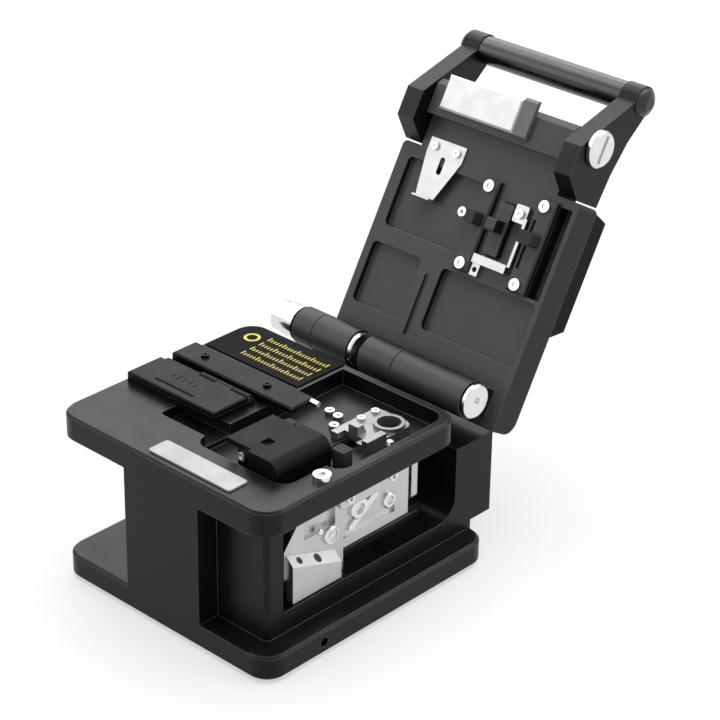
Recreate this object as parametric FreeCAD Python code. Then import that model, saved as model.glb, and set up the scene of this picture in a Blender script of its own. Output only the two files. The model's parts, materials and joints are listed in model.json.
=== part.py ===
"""Fibre cleaver: C-shaped body with a deck, a blade carriage on a rail, a hinged lid and a press handle.

Millimetres. +X is the user's right, +Y the back, +Z up. The origin is the centre of the underside.
Places across follow the base plate's two edges, and places from front to back follow the fibre's line.
The lid and the handle are drawn closed, over the deck, and then turned open about the hinge axis.
"""
import FreeCAD, Part
import math
import os

V = FreeCAD.Vector
os.makedirs("parts", exist_ok=True)

# ---- clearances ----
RUN = 0.05                 # radial running clearance of a shaft in its bore
GAP = 0.3                  # between bodies that move past each other
FIT = 0.01                 # radial play of a pin held in its bore
SEAM = 0.02                # between two pieces' faces that bear on each other
PAST = 1.0                 # how far a cut runs past the face that it opens

# ---- fibre's line, over the deck from left to right ----
FIBRE_Y = -6.5
GROOVE_W = 0.8

# ---- body casting ----
BASE_W = 75.0              # base plate and deck, across
BASE_D = 82.0              # base plate, front to back
BASE_T = 6.7
BASE_CORNER = 6.0
EDGE = 0.7                 # chamfer of the casting's outer edges
DECK_TOP = 48.6
DECK_T = 7.3
WEB_FROM_LEFT = 25.0       # web's faces in from the base plate's edges
WEB_FROM_RIGHT = 6.5
WEB_CORNER = 1.5
STEP_FROM_BLADE = 7.8      # the web's front face steps back to the right of this
STEP_DEPTH = 6.5
REAR_LIFT = 9.7            # underside of the web where it stands out behind the base plate
REAR_TOP = 33.5
REAR_BEHIND_HINGE = 11.9
DECK_BEFORE_HINGE = 8.8
SILL = 13.5
WINDOW_CORNER = 6.0
WINDOW_ROOM = 3.4          # window's front edge before the carriage at rest
WINDOW_REST = 0.8          # window's rear edge behind the carriage at the end of its travel
WINDOW_BACK = 4.0          # window's inner wall to the left of the carriage
SIDE_HOLE_R = 1.3
SIDE_HOLE_DEPTH = 4.0
SIDE_HOLE_Y = 20.0         # behind the front face
PAD_MARGIN_X = 5.5         # foot pad in from the base plate's edges
PAD_MARGIN_Y = 6.0
PAD_T = 1.4
PAD_PROUD = 0.8
PAD_CORNER = 3.0
PAD_PLAY = 0.1

# ---- deck ----
POCKET_DEPTH = 4.6
POCKET_FROM_LEFT = 36.5
POCKET_FROM_RIGHT = 2.7
POCKET_BEFORE_FIBRE = 21.5
POCKET_SHOULDER_W = 4.4    # the pocket is narrower by this in front of its shoulder
SHOULDER_BEFORE_FIBRE = 7.0
POCKET_REAR_WALL = 2.6
POCKET_CORNER = 4.0
SLOT_W = 4.8               # blade slot
SLOT_ROOM = 1.5            # from the blade to the centre of the slot's round end
SLOT_RUN_OUT = 7.5         # slot behind the blade at the end of its travel
SLOT_PLATE_HALF = 6.0
SLOT_PLATE_END = 1.8       # slot plate past the slot's ends
SLOT_PLATE_T = 1.5
SLOT_LEDGE = 1.8           # casting's ledge under the slot plate's edge
TRENCH_FROM_LEFT = 20.0    # shallow trench in front of the fibre holder
TRENCH_DEPTH = 3.2
TRENCH_BEFORE_FIBRE = 17.5
TRENCH_D = 8.5
TRENCH_REACH = 6.0         # trench past the pocket's left wall
TRENCH_CORNER = 1.5
LABEL_FROM_RIGHT = 43.1
LABEL_FROM_FRONT = 2.1
LABEL_W = 28.4
LABEL_D = 6.5
LABEL_T = 0.5
LABEL_CORNER = 0.8
SCALE_FROM_LEFT = 1.3
SCALE_FROM_POCKET = 1.2
SCALE_FROM_REAR = 1.0
SCALE_D = 17.4
SCALE_T = 0.35
STOP_FROM_RIGHT = 3.4
STOP_BEFORE_FIBRE = 12.3
STOP_R = 2.3
STOP_H = 1.5

# ---- fibre holder ----
HOLDER_FROM_LEFT = 1.7
HOLDER_FROM_POCKET = 3.0
HOLDER_BEFORE_FIBRE = 11.8
HOLDER_D = 14.2
HOLDER_BASE_T = 1.5
FLAP_T = 1.3
FLAP_LIFT = 0.12           # closed flap over the holder's base
FLAP_EDGE = 0.35
FLAP_PIN_R = 0.6
FLAP_KNUCKLE_R = 1.15
FLAP_KNUCKLE_L = 6.0
MARK_COUNT = 5             # cut marks in the flap, along the fibre
MARK_PITCH = 2.0
MARK_W = 0.35
MARK_L = 1.6
MARK_DEPTH = 0.25
MARK_FROM_LEFT = 10.0
MARK_BEFORE_FIBRE = 6.0
THUMB_GROOVE_L = 14.0
THUMB_GROOVE_HALF = 0.5
THUMB_FROM_LEFT = 8.0
THUMB_BEFORE_FIBRE = 9.3
REST_PAST_POCKET = 8.8     # rear rest past the pocket's left wall
REST_D = 8.4
REST_T = 2.7
REST_EDGE = 0.4
REST_BRIDGE = 1.2          # underside of the rest over the pocket, above the deck
REST_SCREW_R = 1.1
REST_SCREW_H = 0.7
REST_SCREW_IN = 8.0
REST_PIN_R = 0.8
REST_PIN_L = 2.6
REST_PIN_FROM_REAR = 1.2

# ---- blade guard ----
GUARD_FROM_BLADE = 3.9     # guard's left face
GUARD_W = 10.0
GUARD_BEFORE_FIBRE = 20.9
GUARD_D = 18.6
GUARD_H = 4.6              # above the deck
GUARD_NOSE_R = 3.4
GUARD_WALL = 2.0           # front wall, before the blade's room
WING_L = 8.6
WING_T = 1.5
WING_D = 15.8
WING_IN = 1.2              # wing behind the guard's front face
GUARD_DIMPLE_W = 3.0
GUARD_DIMPLE_L = 1.6
GUARD_DIMPLE_DEPTH = 0.9
GUARD_DIMPLE_Y = 5.0
GUARD_POST_W = 3.6
GUARD_POST_D = 4.0
GUARD_POST_X = 3.0         # post's centre to the left of the guard
GUARD_SCREW_R = 1.3
GUARD_SCREW_H = 0.9
GUARD_SCREW_UNDER = 1.6

# ---- blade ----
BLADE_R = 7.5
BLADE_T = 0.7
BLADE_BEVEL = 1.2
BLADE_OVER = 0.1           # blade's edge over the fibre's height
BLADE_BEFORE_FIBRE = 7.5
AXLE_R = 1.5
ARM_D = 6.4                # blade arm, front to back
ARM_OVER = 2.7             # top of the arm above the axle
ARM_SIDE = 0.35            # arm to the slot's wall
ARM_INNER = 0.25           # arm's cheek to the blade
ARM_CORNER = 1.8
ARM_FOOT = 0.6             # well's floor below the blade's edge

# ---- carriage ----
TRAVEL = 11.0
CARR_FROM_WEB = 3.0        # carriage's right face in from the web's
CARR_W = 16.0
CARR_BEFORE_FIBRE = 19.1
CARR_L = 45.0
CARR_UNDER_DECK = 3.3
CARR_BAR_H = 18.0
CARR_FOOT_L = 21.0         # from the carriage's front
CARR_FOOT_IN = 3.1         # foot's front face behind the carriage's front
CARR_NOSE_H = 10.0         # nose's underside below the carriage's top
CARR_NOSE_RISE = 7.0
CARR_NOSE_RUN = 5.6
CARR_NOSE_END = 2.4
CARR_FROM_BLADE = 6.5      # carriage's right face to the right of the blade
SEAT_DEPTH = 1.2           # shallow step in the carriage's right side
SEAT_H = 9.6
SEAT_FRONT = 7.0
SEAT_REAR = 3.0
LINE_DEPTH = 0.8           # long groove in the carriage's right side
LINE_H = 2.8
LINE_UP = 2.6
LINE_END = 5.0
BORE_DEPTH = 3.0
SIDE_BORES = ((5.0, 3.2, 0.9), (12.0, 2.2, 1.0), (16.2, 6.2, 1.5), (26.0, 9.8, 1.3), (37.4, 7.2, 1.6))
WELL_HALF = 2.4
FRONT_PLATE_T = 1.6
FRONT_PLATE_DROP = 9.0     # front plate below the nose's underside
FRONT_PLATE_IN = 1.0
FRONT_PLATE_CORNER = 1.2
FRONT_LAND_H = 2.5         # carriage's land behind the front plate
FRONT_SCREW_R = 1.0
FRONT_SCREW_H = 0.7
FRONT_SCREW_IN = 3.5
REAR_PLATE_T = 2.2
REAR_PLATE_OUT = 1.2
REAR_PLATE_IN = 2.0
REAR_PLATE_LOW = 3.0
REAR_PLATE_TOP = 1.0
REAR_PLATE_CORNER = 1.5
REAR_POST_R = 1.4
REAR_POST_IN = 5.0
REAR_POST_UP = 9.0
SIDE_COVER_FRONT = 18.6         # side cover behind the carriage's front
SIDE_COVER_L = 22.0
SIDE_COVER_H = 5.0
SIDE_COVER_T = 1.2
SIDE_COVER_DOWN = 0.8
SIDE_COVER_CORNER = 1.6
SIDE_COVER_SCREW_R = 1.3
SIDE_COVER_SCREW_H = 0.8
SIDE_COVER_SCREW_IN = 3.2
RAIL_W = 8.0
RAIL_H = 4.0
RAIL_PLAY = 0.12
RAIL_GROOVE_R = 0.8
RAIL_FRONT = 1.0           # rail's end behind the window's front edge
RAIL_SCREWS = 4
RAIL_SCREW_R = 1.8
RAIL_SCREW_H = 0.9
RAIL_SCREW_SINK = 1.2
RAIL_SCREW_IN = 5.0

# ---- lower clamp, on the pocket's floor ----
CLAMP_BEHIND_FIBRE = 9.6
CLAMP_FROM_BLADE = 5.5     # clamp's left face
CLAMP_W = 12.6
CLAMP_D = 17.0
CLAMP_T = 2.0
CLAMP_CORNER = 2.6
CLAMP_NOTCH_D = 2.6
CLAMP_HOLE_R = 3.1
CLAMP_HOLE_X = 8.8
CLAMP_HOLE_Y = 12.0
CLAMP_RING_W = 1.0
CLAMP_RING_H = 1.2
CLAMP_STRIP_W = 2.0
CLAMP_STRIP_D = 7.0
CLAMP_STRIP_H = 1.4
EAR_X = 3.6                # ear that stands behind the blade's notch
EAR_W = 3.2
EAR_D = 3.2
EAR_H = 4.4
EAR_TOP_D = 2.0
CLAMP_SCREW_R = 1.15
CLAMP_SCREW_H = 0.8
DECK_SCREW_R = 1.3
DECK_SCREW_H = 1.2
SCRAP_POST_IN = 2.6        # ball-ended post in from the pocket's right wall
SCRAP_POST_Y = 4.4
SCRAP_STEM_R = 0.8
SCRAP_BALL_R = 1.25
SCRAP_BALL_UP = 2.9

# ---- hinge ----
HINGE_BEHIND_FIBRE = 43.3
HINGE_UNDER_DECK = 0.3
BARREL_R = 5.25
PIN_R = 2.2
PIN_HEAD_R = 4.7
PIN_HEAD_T = 1.3
PIN_HEAD_EDGE = 0.4
PIN_DIMPLE_R = 1.1
PIN_DIMPLE = 0.7
EAR_KNUCKLE_OUT = 3.0      # lid's left knuckle past the lid's left side
LEFT_BRACKET_OUT = 6.5     # left bracket past the web's left face
LEFT_BRACKET_L = 12.5
RIGHT_BRACKET_IN = 10.7
RIGHT_BRACKET_L = 11.0
BARREL_IN = 4.0            # barrel's end in from the lid's right side
BRACKET_FRONT = 4.4        # pedestal's front and rear faces from the hinge axis
BRACKET_REAR = 2.8
KNOB_R = 4.8
KNOB_L = 9.6
KNOB_NECK = 0.4
KNOB_END_R = 3.2
KNOB_SOCKET = 8.6
HINGE_WEB_HALF = 4.0
OPEN_ANGLE = 120.0

# ---- lid, along s from the hinge axis and up h above it ----
LID_FROM_LEFT = 14.5
LID_REAR_S = -6.2
LID_REAR_CORNER = 4.0
LID_FRONT_S = 67.0
LID_IN_H = 8.0
LID_T = 9.0
LID_NOTCH_S = 56.2         # in front of this the lid is narrower, for the handle's arms
LID_SIDE_CORNER = 1.5
NECK_LEFT = 6.1
NECK_RIGHT = 7.6
TONGUE_LOW = 5.0
TONGUE_HIGH = 12.6
TONGUE_EDGE = 1.6
RECESS = 1.8
RECESS_CORNER = 1.6
RECESS_REAR_S = 10.8
RECESS_MID_S = 28.0
RECESS_UPPER_S = 32.9
RECESS_FRONT_S = 52.5
RECESS_EDGE = 2.4
RIGHT_WALL = 1.3           # lid's right wall beside its recess and channel
CHANNEL_DEPTH = 4.2
RIB_FROM_LEFT = 22.3
RIB_W = 0.9
RIB_REAR_S = 8.0
RIB_FRONT_S = 25.0
COVER_S0 = 19.8            # raised cover on the lid's outer face
COVER_S1 = 56.0
COVER_RISE = 9.3
COVER_REAR_SLOPE = 3.8
COVER_FRONT_SLOPE = 2.1
COVER_EDGE = 1.0
COVER_LEFT_IN = 9.0
COVER_RIGHT_IN = 1.9
LID_SCREW_R = 1.7
LID_SCREW_H = 0.8
LID_SCREW_SINK = 1.0
LID_SCREW_IN = 5.0
LID_SCREW_END = 11.0

# ---- handle ----
PIVOT_S = 71.0
PIVOT_H = 8.3
PIVOT_R = 1.9
PIVOT_HEAD_R = 5.0
PIVOT_HEAD_T = 1.6
PIVOT_HEAD_EDGE = 0.5
PIVOT_SLOT_HALF = 0.6
PIVOT_SLOT_DEPTH = 0.8
PIVOT_RIM = 1.2
PIVOT_IN = 8.0
ARM_T = 5.5
ARM_BEFORE_NOTCH = 0.5     # arm's back edge before the lid's wide part
ARM_FOOT_H = 1.2
ARM_TOP_H = 18.5
ARM_KNEE_S = 66.0
ARM_TOE = 5.0              # slope of the foot's rear corner
ARM_HEEL = 1.2
ARM_TIP_S = 3.4
ARM_TIP_H = 4.6
ARM_HOLLOW = 4.4
ARM_RISE = 0.5
ARM_RIM = 0.35             # arm's round end over the grip's radius
GRIP_S = 86.6
GRIP_H = 21.0
GRIP_R = 3.9
GRIP_WALL = 1.4
GRIP_CAP_L = 1.9
GRIP_CAP_R = 1.7
NOSE_S = 76.4              # front of the lid's tongue

# ---- clamps in the lid ----
GRIP_PAD_HALF = 1.8
GRIP_PAD_FIBRE = 0.2            # upper pads above the fibre, and twice that of the lower ones below it
GRIP_PAD_ROUND = 0.7
GRIP_PAD_INSET = 1.0
BAR_S0 = 29.0
BAR_S1 = 54.4
BAR_LEFT_FROM_BLADE = 13.5
BAR_LEFT_W = 5.0
BAR_RIGHT_FROM_BLADE = 4.5
BAR_RIGHT_W = 6.2
BAR_T = 1.8
BAR_EDGE = 0.5
BAR_SLOT_W = 1.0
BAR_SLOT_IN = 6.0
BAR_SCREW_R = 1.6
BAR_SCREW_H = 0.9
BAR_SCREW_IN = 2.0
ANVIL_FROM_BLADE = 6.1
ANVIL_W = 4.6
ANVIL_S0 = 35.6
ANVIL_L = 14.2
ANVIL_TRAVEL = 0.8
ANVIL_POCKET = 13.4        # floor of the anvil's pocket in the lid
ANVIL_FOOT_IN = 0.8
SPRING_FREE = 1.5
WASHER_R = 1.9
WASHER_HOLE_R = 1.1
WASHER_T = 0.9
KEEPER_W = 4.2
KEEPER_D = 4.8
KEEPER_T = 1.6
KEEPER_CORNER = 0.6
KEEPER_SCREW_R = 1.25
KEEPER_SCREW_H = 0.8
STRIP_W = 0.9
STRIP_H = 2.2
STRIP_FROM_BAR = 1.4
STRIP_S = 5.4
STRIP_L = 13.2
BRACKET_S = 3.4
BRACKET_D = 2.4
BRACKET_T = 2.0
BRACKET_EAR_W = 2.6
BRACKET_EAR_L = 3.4
BRACKET_EAR_T = 1.0
BRACKET_HOLE_R = 0.7
RELEASE_R = 1.3
RELEASE_H = 1.6
RELEASE_FROM_BAR = 3.4
RELEASE_S = 43.6

# ---- spring plate in the lid ----
SPRING_IN = 8.8            # from the lid's left side
SPRING_S = 59.5
SPRING_W = 12.4
SPRING_L = 16.4
SPRING_SHOULDER = 4.4
SPRING_TIP_X = 1.6
SPRING_TIP_W = 6.0
SPRING_T = 0.5
SPRING_TAB = 2.2
SPRING_SLOT_W = 1.6
SPRING_SLOT_L = 4.8
SPRING_SCREW_R = 1.1
SPRING_SCREW_H = 0.7
SPRING_SCREW_IN = 2.4

# ---- latch at the lid's front ----
LATCH_IN = 3.9             # bright block from the lid's neck
LATCH_W = 25.5
LATCH_TOP = 11.4
LATCH_LOW = 3.6
LATCH_EDGE = 0.6
LATCH_PLAY = 0.05
NOSE_W = 4.4
NOSE_GAP = 0.2
NOSE_EDGE = 0.8

# ---- screw sockets, as shares of the head ----
SOCKET_FLOOR = 0.45
SOCKET_R = 0.5

# ---- derived places ----
HALF_W = BASE_W / 2
FRONT = -BASE_D / 2
REAR = BASE_D / 2
BASE_BOTTOM = PAD_PROUD
BASE_TOP = BASE_BOTTOM + BASE_T
DECK_UNDER = DECK_TOP - DECK_T
HINGE_Y = FIBRE_Y + HINGE_BEHIND_FIBRE
HINGE_Z = DECK_TOP - HINGE_UNDER_DECK
DECK_REAR = HINGE_Y - DECK_BEFORE_HINGE
WEB_REAR = HINGE_Y + REAR_BEHIND_HINGE
WEB_LEFT = -HALF_W + WEB_FROM_LEFT
WEB_RIGHT = HALF_W - WEB_FROM_RIGHT
FIBRE_Z = DECK_TOP + HOLDER_BASE_T

CARR_RIGHT = WEB_RIGHT - CARR_FROM_WEB
CARR_LEFT = CARR_RIGHT - CARR_W
CARR_FRONT = FIBRE_Y - CARR_BEFORE_FIBRE
CARR_REAR = CARR_FRONT + CARR_L
CARR_TOP = DECK_UNDER - CARR_UNDER_DECK
CARR_BAR_Z = CARR_TOP - CARR_BAR_H
NOSE_Z = CARR_TOP - CARR_NOSE_H
RAIL_X = (CARR_LEFT + CARR_RIGHT) / 2
RAIL_TOP = SILL + RAIL_H
WINDOW_LEFT = CARR_LEFT - WINDOW_BACK
WINDOW_Y0 = CARR_FRONT - WINDOW_ROOM
WINDOW_Y1 = CARR_REAR + REAR_PLATE_OUT + REAR_PLATE_T + TRAVEL + WINDOW_REST

BLADE_X = CARR_RIGHT - CARR_FROM_BLADE
BLADE_Y = FIBRE_Y - BLADE_BEFORE_FIBRE
BLADE_Z = FIBRE_Z + BLADE_OVER - BLADE_R
WELL_FLOOR = BLADE_Z - BLADE_R - ARM_FOOT
ARM_TOP = BLADE_Z + ARM_OVER
ARM_OUT = SLOT_W / 2 - ARM_SIDE
STEP_X = BLADE_X - STEP_FROM_BLADE

POCKET_FLOOR = DECK_TOP - POCKET_DEPTH
POCKET_LEFT = -HALF_W + POCKET_FROM_LEFT
POCKET_RIGHT = HALF_W - POCKET_FROM_RIGHT
POCKET_FRONT = FIBRE_Y - POCKET_BEFORE_FIBRE
SHOULDER_X = POCKET_RIGHT - POCKET_SHOULDER_W
SHOULDER_Y = FIBRE_Y - SHOULDER_BEFORE_FIBRE
SLOT_FRONT = BLADE_Y - BLADE_R - SLOT_ROOM
SLOT_REAR = BLADE_Y + BLADE_R + TRAVEL + SLOT_RUN_OUT
SLOT_PLATE_Y0 = SLOT_FRONT - SLOT_W / 2 - SLOT_PLATE_END
SLOT_PLATE_Y1 = SLOT_REAR + SLOT_W / 2 + SLOT_PLATE_END
TRENCH_LEFT = -HALF_W + TRENCH_FROM_LEFT
TRENCH_FRONT = FIBRE_Y - TRENCH_BEFORE_FIBRE
TRENCH_FLOOR = DECK_TOP - TRENCH_DEPTH

HOLDER_X = -HALF_W + HOLDER_FROM_LEFT
HOLDER_END = POCKET_LEFT - HOLDER_FROM_POCKET
HOLDER_Y = FIBRE_Y - HOLDER_BEFORE_FIBRE
HOLDER_REAR = HOLDER_Y + HOLDER_D
HOLDER_TOP = FIBRE_Z + FLAP_T
FLAP_Z0 = FIBRE_Z + FLAP_LIFT
FLAP_TOP = FLAP_Z0 + FLAP_T
FLAP_X0 = HOLDER_END - 3 * FLAP_KNUCKLE_L
FLAP_Y = HOLDER_REAR - FLAP_KNUCKLE_R
FLAP_Z = HOLDER_TOP - FLAP_KNUCKLE_R
REST_Y = HOLDER_REAR + GAP + FLAP_KNUCKLE_R
REST_END = POCKET_LEFT + REST_PAST_POCKET
GUARD_X = BLADE_X - GUARD_FROM_BLADE
GUARD_Y = FIBRE_Y - GUARD_BEFORE_FIBRE
GUARD_TOP = DECK_TOP + GUARD_H
CLAMP_X = BLADE_X - CLAMP_FROM_BLADE
CLAMP_Y = FIBRE_Y + CLAMP_BEHIND_FIBRE

LID_LEFT = -HALF_W + LID_FROM_LEFT
LID_RIGHT = HALF_W
LID_OUT_H = LID_IN_H + LID_T
LID_NECK_LEFT = LID_LEFT + NECK_LEFT
LID_NECK_RIGHT = LID_RIGHT - NECK_RIGHT
RIB_X = LID_LEFT + RIB_FROM_LEFT
COVER_LEFT = LID_LEFT + COVER_LEFT_IN
COVER_RIGHT = LID_RIGHT - COVER_RIGHT_IN
COVER_H_TOP = LID_OUT_H + COVER_RISE
KNUCKLE1_X = LID_LEFT - EAR_KNUCKLE_OUT
KNUCKLE2_X = WEB_LEFT - LEFT_BRACKET_OUT
KNUCKLE1_END = KNUCKLE2_X - GAP
KNUCKLE2_END = KNUCKLE2_X + LEFT_BRACKET_L
KNUCKLE3_X = WEB_LEFT + RIGHT_BRACKET_IN
KNUCKLE3_END = KNUCKLE3_X + RIGHT_BRACKET_L
BARREL_X = KNUCKLE3_END + GAP
BARREL_END = LID_RIGHT - BARREL_IN
BAR_LEFT_X = BLADE_X - BAR_LEFT_FROM_BLADE
BAR_RIGHT_X = BLADE_X + BAR_RIGHT_FROM_BLADE
CHANNEL_X = BAR_RIGHT_X + BAR_RIGHT_W + SEAM
ANVIL_X = BLADE_X - ANVIL_FROM_BLADE
KEEPER_X = ANVIL_X + ANVIL_W + GAP + PAD_PLAY
SPRING_X = LID_LEFT + SPRING_IN
LATCH_X = LID_NECK_LEFT + LATCH_IN
ARM_LEFT_X = LID_LEFT
ARM_RIGHT_X = LID_NECK_RIGHT + 2 * GAP
ARM_RIGHT_END = ARM_RIGHT_X + ARM_T
ARM_BACK_S = LID_NOTCH_S + ARM_BEFORE_NOTCH


# ---- helpers ----
def box(x0, x1, y0, y1, z0, z1):
    return Part.makeBox(x1 - x0, y1 - y0, z1 - z0, V(x0, y0, z0))


def cyl(radius, length, start, direction):
    return Part.makeCylinder(radius, length, V(*start), V(*direction))


def cyl_x(radius, x0, x1, y, z):
    return cyl(radius, x1 - x0, (x0, y, z), (1, 0, 0))


def cyl_y(radius, y0, y1, x, z):
    return cyl(radius, y1 - y0, (x, y0, z), (0, 1, 0))


def cyl_z(radius, z0, z1, x, y):
    return cyl(radius, z1 - z0, (x, y, z0), (0, 0, 1))


def fuse(first, *others):
    for shape in others:
        first = first.fuse(shape)
    return first.removeSplitter()


def edges_along(shape, axis, keep=lambda centre: True):
    """The straight edges parallel to an axis (0, 1 or 2) whose centres pass the test."""
    found = []
    for edge in shape.Edges:
        if len(edge.Vertexes) < 2:
            continue
        run = edge.Vertexes[1].Point - edge.Vertexes[0].Point
        if run.Length < 1e-6 or abs(abs(run[axis]) - run.Length) > 1e-6:
            continue
        if keep(edge.CenterOfMass):
            found.append(edge)
    return found


def rounded(shape, axis, radius, keep=lambda centre: True):
    return shape.makeFillet(radius, edges_along(shape, axis, keep))


def edges_at(shape, axis, value):
    """Every edge that lies wholly in the plane where the axis has that value."""
    found = []
    for edge in shape.Edges:
        b = edge.BoundBox
        low = (b.XMin, b.YMin, b.ZMin)[axis]
        high = (b.XMax, b.YMax, b.ZMax)[axis]
        if abs(low - value) < 1e-4 and abs(high - value) < 1e-4:
            found.append(edge)
    return found


def profile(points, plane, start, length):
    """A straight-sided outline of (a, b) points, pushed along the axis that its plane leaves free."""
    place = {
        "yz": lambda a, b: V(start, a, b),
        "xz": lambda a, b: V(a, start, b),
        "xy": lambda a, b: V(a, b, start),
    }[plane]
    push = {"yz": V(length, 0, 0), "xz": V(0, length, 0), "xy": V(0, 0, length)}[plane]
    corners = [place(a, b) for a, b in points]
    return Part.Face(Part.makePolygon(corners + corners[:1])).extrude(push)


def turned(points, place, direction):
    """A solid of revolution: (along, radius) points turned about an axis along X, Y or Z."""
    axis = V(*direction)
    out = V(0, 0, 1) if abs(axis.z) < 0.5 else V(1, 0, 0)
    corners = [V(*place) + axis * along + out * radius for along, radius in points]
    return Part.Face(Part.makePolygon(corners + corners[:1])).revolve(V(*place), axis, 360)


def pan_screw(radius, height, place, direction):
    """A low screw head standing on a face, with a hexagon socket."""
    up = V(*direction)
    across = V(0, 0, 1) if abs(up.z) < 0.5 else V(1, 0, 0)
    side = up.cross(across)
    centre = V(*place) + up * (height * SOCKET_FLOOR)
    corners = []
    for k in range(6):
        angle = math.radians(60 * k)
        corners.append(centre + (across * math.cos(angle) + side * math.sin(angle)) * radius * SOCKET_R)
    socket = Part.Face(Part.makePolygon(corners + corners[:1])).extrude(up * height)
    return cyl(radius, height, place, direction).cut(socket)


def group(shapes):
    return Part.makeCompound(shapes)


def save(name, shape):
    shape.exportStep("parts/" + name + ".step")


# The lid's own frame: s runs from the hinge axis to the free end, h runs up from it when closed.
def lid_y(s):
    return HINGE_Y - s


def lid_z(h):
    return HINGE_Z + h


def lid_box(x0, x1, s0, s1, h0, h1):
    return box(x0, x1, lid_y(s1), lid_y(s0), lid_z(h0), lid_z(h1))


def lid_profile(points, x0, x1):
    return profile([(lid_y(s), lid_z(h)) for s, h in points], "yz", x0, x1 - x0)


def opened(shape):
    """Turns a piece of the lid from the closed place to the open one."""
    moved = shape.copy()
    moved.rotate(V(0, HINGE_Y, HINGE_Z), V(1, 0, 0), -OPEN_ANGLE)
    return moved


# ---- body ----
def body_casting():
    """Base plate, web and deck in one, with the window, the pocket and the seats of what it carries."""
    plate = rounded(box(-HALF_W, HALF_W, FRONT, REAR, BASE_BOTTOM, BASE_TOP), 2, BASE_CORNER)
    plate = plate.makeChamfer(EDGE, edges_at(plate, 2, BASE_TOP) + edges_at(plate, 2, BASE_BOTTOM))
    deck = rounded(box(-HALF_W, HALF_W, FRONT, DECK_REAR, DECK_UNDER, DECK_TOP), 2, BASE_CORNER)
    deck = deck.makeChamfer(EDGE, edges_at(deck, 2, DECK_TOP) + edges_at(deck, 2, DECK_UNDER))
    web = box(WEB_LEFT, WEB_RIGHT, FRONT, DECK_REAR, BASE_TOP - EDGE, DECK_UNDER + EDGE)
    back = box(WEB_LEFT, WEB_RIGHT, DECK_REAR - PAST, WEB_REAR, BASE_TOP - EDGE, REAR_TOP)
    over = box(WEB_LEFT - PAST, WEB_RIGHT + PAST, REAR, WEB_REAR + PAST, 0, REAR_LIFT)
    shape = fuse(plate, deck, web, back).cut(over)
    for cut in (step_cut, window_cut, pocket_cut, trench_cut, slot_plate_seat, pad_seat, side_hole):
        shape = shape.cut(cut())
    return shape.removeSplitter()


def step_cut():
    """The step in the web's front face, with the corner that is left at the web's right side rounded."""
    x1 = WEB_RIGHT + PAST
    y1 = FRONT + STEP_DEPTH
    step = box(STEP_X, x1, FRONT - PAST, y1, BASE_TOP, DECK_UNDER)
    corner = box(WEB_RIGHT - WEB_CORNER, x1, y1 - PAST, y1 + WEB_CORNER, BASE_TOP, DECK_UNDER)
    round_corner = cyl_z(WEB_CORNER, BASE_TOP, DECK_UNDER, WEB_RIGHT - WEB_CORNER, y1 + WEB_CORNER)
    return fuse(step, corner.cut(round_corner))


def window_cut():
    cut = box(WINDOW_LEFT, WEB_RIGHT + PAST, WINDOW_Y0, WINDOW_Y1, SILL, DECK_UNDER)
    return rounded(cut, 0, WINDOW_CORNER, lambda c: c.y > WINDOW_Y1 - 1 and c.z < SILL + 1)


def pocket_cut():
    top = DECK_TOP + PAST
    front = box(POCKET_LEFT, SHOULDER_X, POCKET_FRONT, SHOULDER_Y + POCKET_CORNER, POCKET_FLOOR, top)
    front = rounded(front, 2, POCKET_CORNER, lambda c: c.y < POCKET_FRONT + 1)
    rear = box(POCKET_LEFT, POCKET_RIGHT, SHOULDER_Y, DECK_REAR - POCKET_REAR_WALL, POCKET_FLOOR, top)
    rear = rounded(rear, 2, POCKET_CORNER, lambda c: c.x > POCKET_LEFT + 1)
    return fuse(front, rear)


def trench_cut():
    cut = box(TRENCH_LEFT, POCKET_LEFT + TRENCH_REACH, TRENCH_FRONT, TRENCH_FRONT + TRENCH_D,
              TRENCH_FLOOR, DECK_TOP + PAST)
    return rounded(cut, 2, TRENCH_CORNER, lambda c: c.x < TRENCH_LEFT + 1)


def slot_plate_seat():
    """Seat of the slot plate in the pocket's floor, and the opening under it inside the ledge."""
    half = SLOT_PLATE_HALF
    y0 = SLOT_PLATE_Y0
    y1 = SLOT_PLATE_Y1
    seat = box(BLADE_X - half - SEAM, BLADE_X + half + SEAM, y0 - SEAM, y1 + SEAM,
               POCKET_FLOOR - SLOT_PLATE_T, POCKET_FLOOR + PAST)
    under = box(BLADE_X - half + SLOT_LEDGE, BLADE_X + half - SLOT_LEDGE, y0 + SLOT_LEDGE, y1 - SLOT_LEDGE,
                DECK_UNDER - PAST, POCKET_FLOOR)
    return fuse(seat, under)


def pad_seat():
    x = HALF_W - PAD_MARGIN_X + PAD_PLAY
    y = REAR - PAD_MARGIN_Y + PAD_PLAY
    return box(-x, x, -y, y, 0, PAD_T)


def side_hole():
    return cyl_x(SIDE_HOLE_R, HALF_W - SIDE_HOLE_DEPTH, HALF_W + PAST, FRONT + SIDE_HOLE_Y,
                 BASE_BOTTOM + BASE_T / 2)


def slot_plate():
    """Strip in the pocket's floor with the blade's slot through it."""
    half = SLOT_PLATE_HALF
    z0 = POCKET_FLOOR - SLOT_PLATE_T
    strip = box(BLADE_X - half, BLADE_X + half, SLOT_PLATE_Y0, SLOT_PLATE_Y1, z0, POCKET_FLOOR)
    round_end = SLOT_W / 2
    strip = strip.cut(box(BLADE_X - round_end, BLADE_X + round_end, SLOT_FRONT, SLOT_REAR, z0, POCKET_FLOOR))
    for y in (SLOT_FRONT, SLOT_REAR):
        strip = strip.cut(cyl_z(round_end, z0, POCKET_FLOOR, BLADE_X, y))
    return strip


def base_pad():
    x = HALF_W - PAD_MARGIN_X
    y = REAR - PAD_MARGIN_Y
    return rounded(box(-x, x, -y, y, 0, PAD_T), 2, PAD_CORNER)


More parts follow.
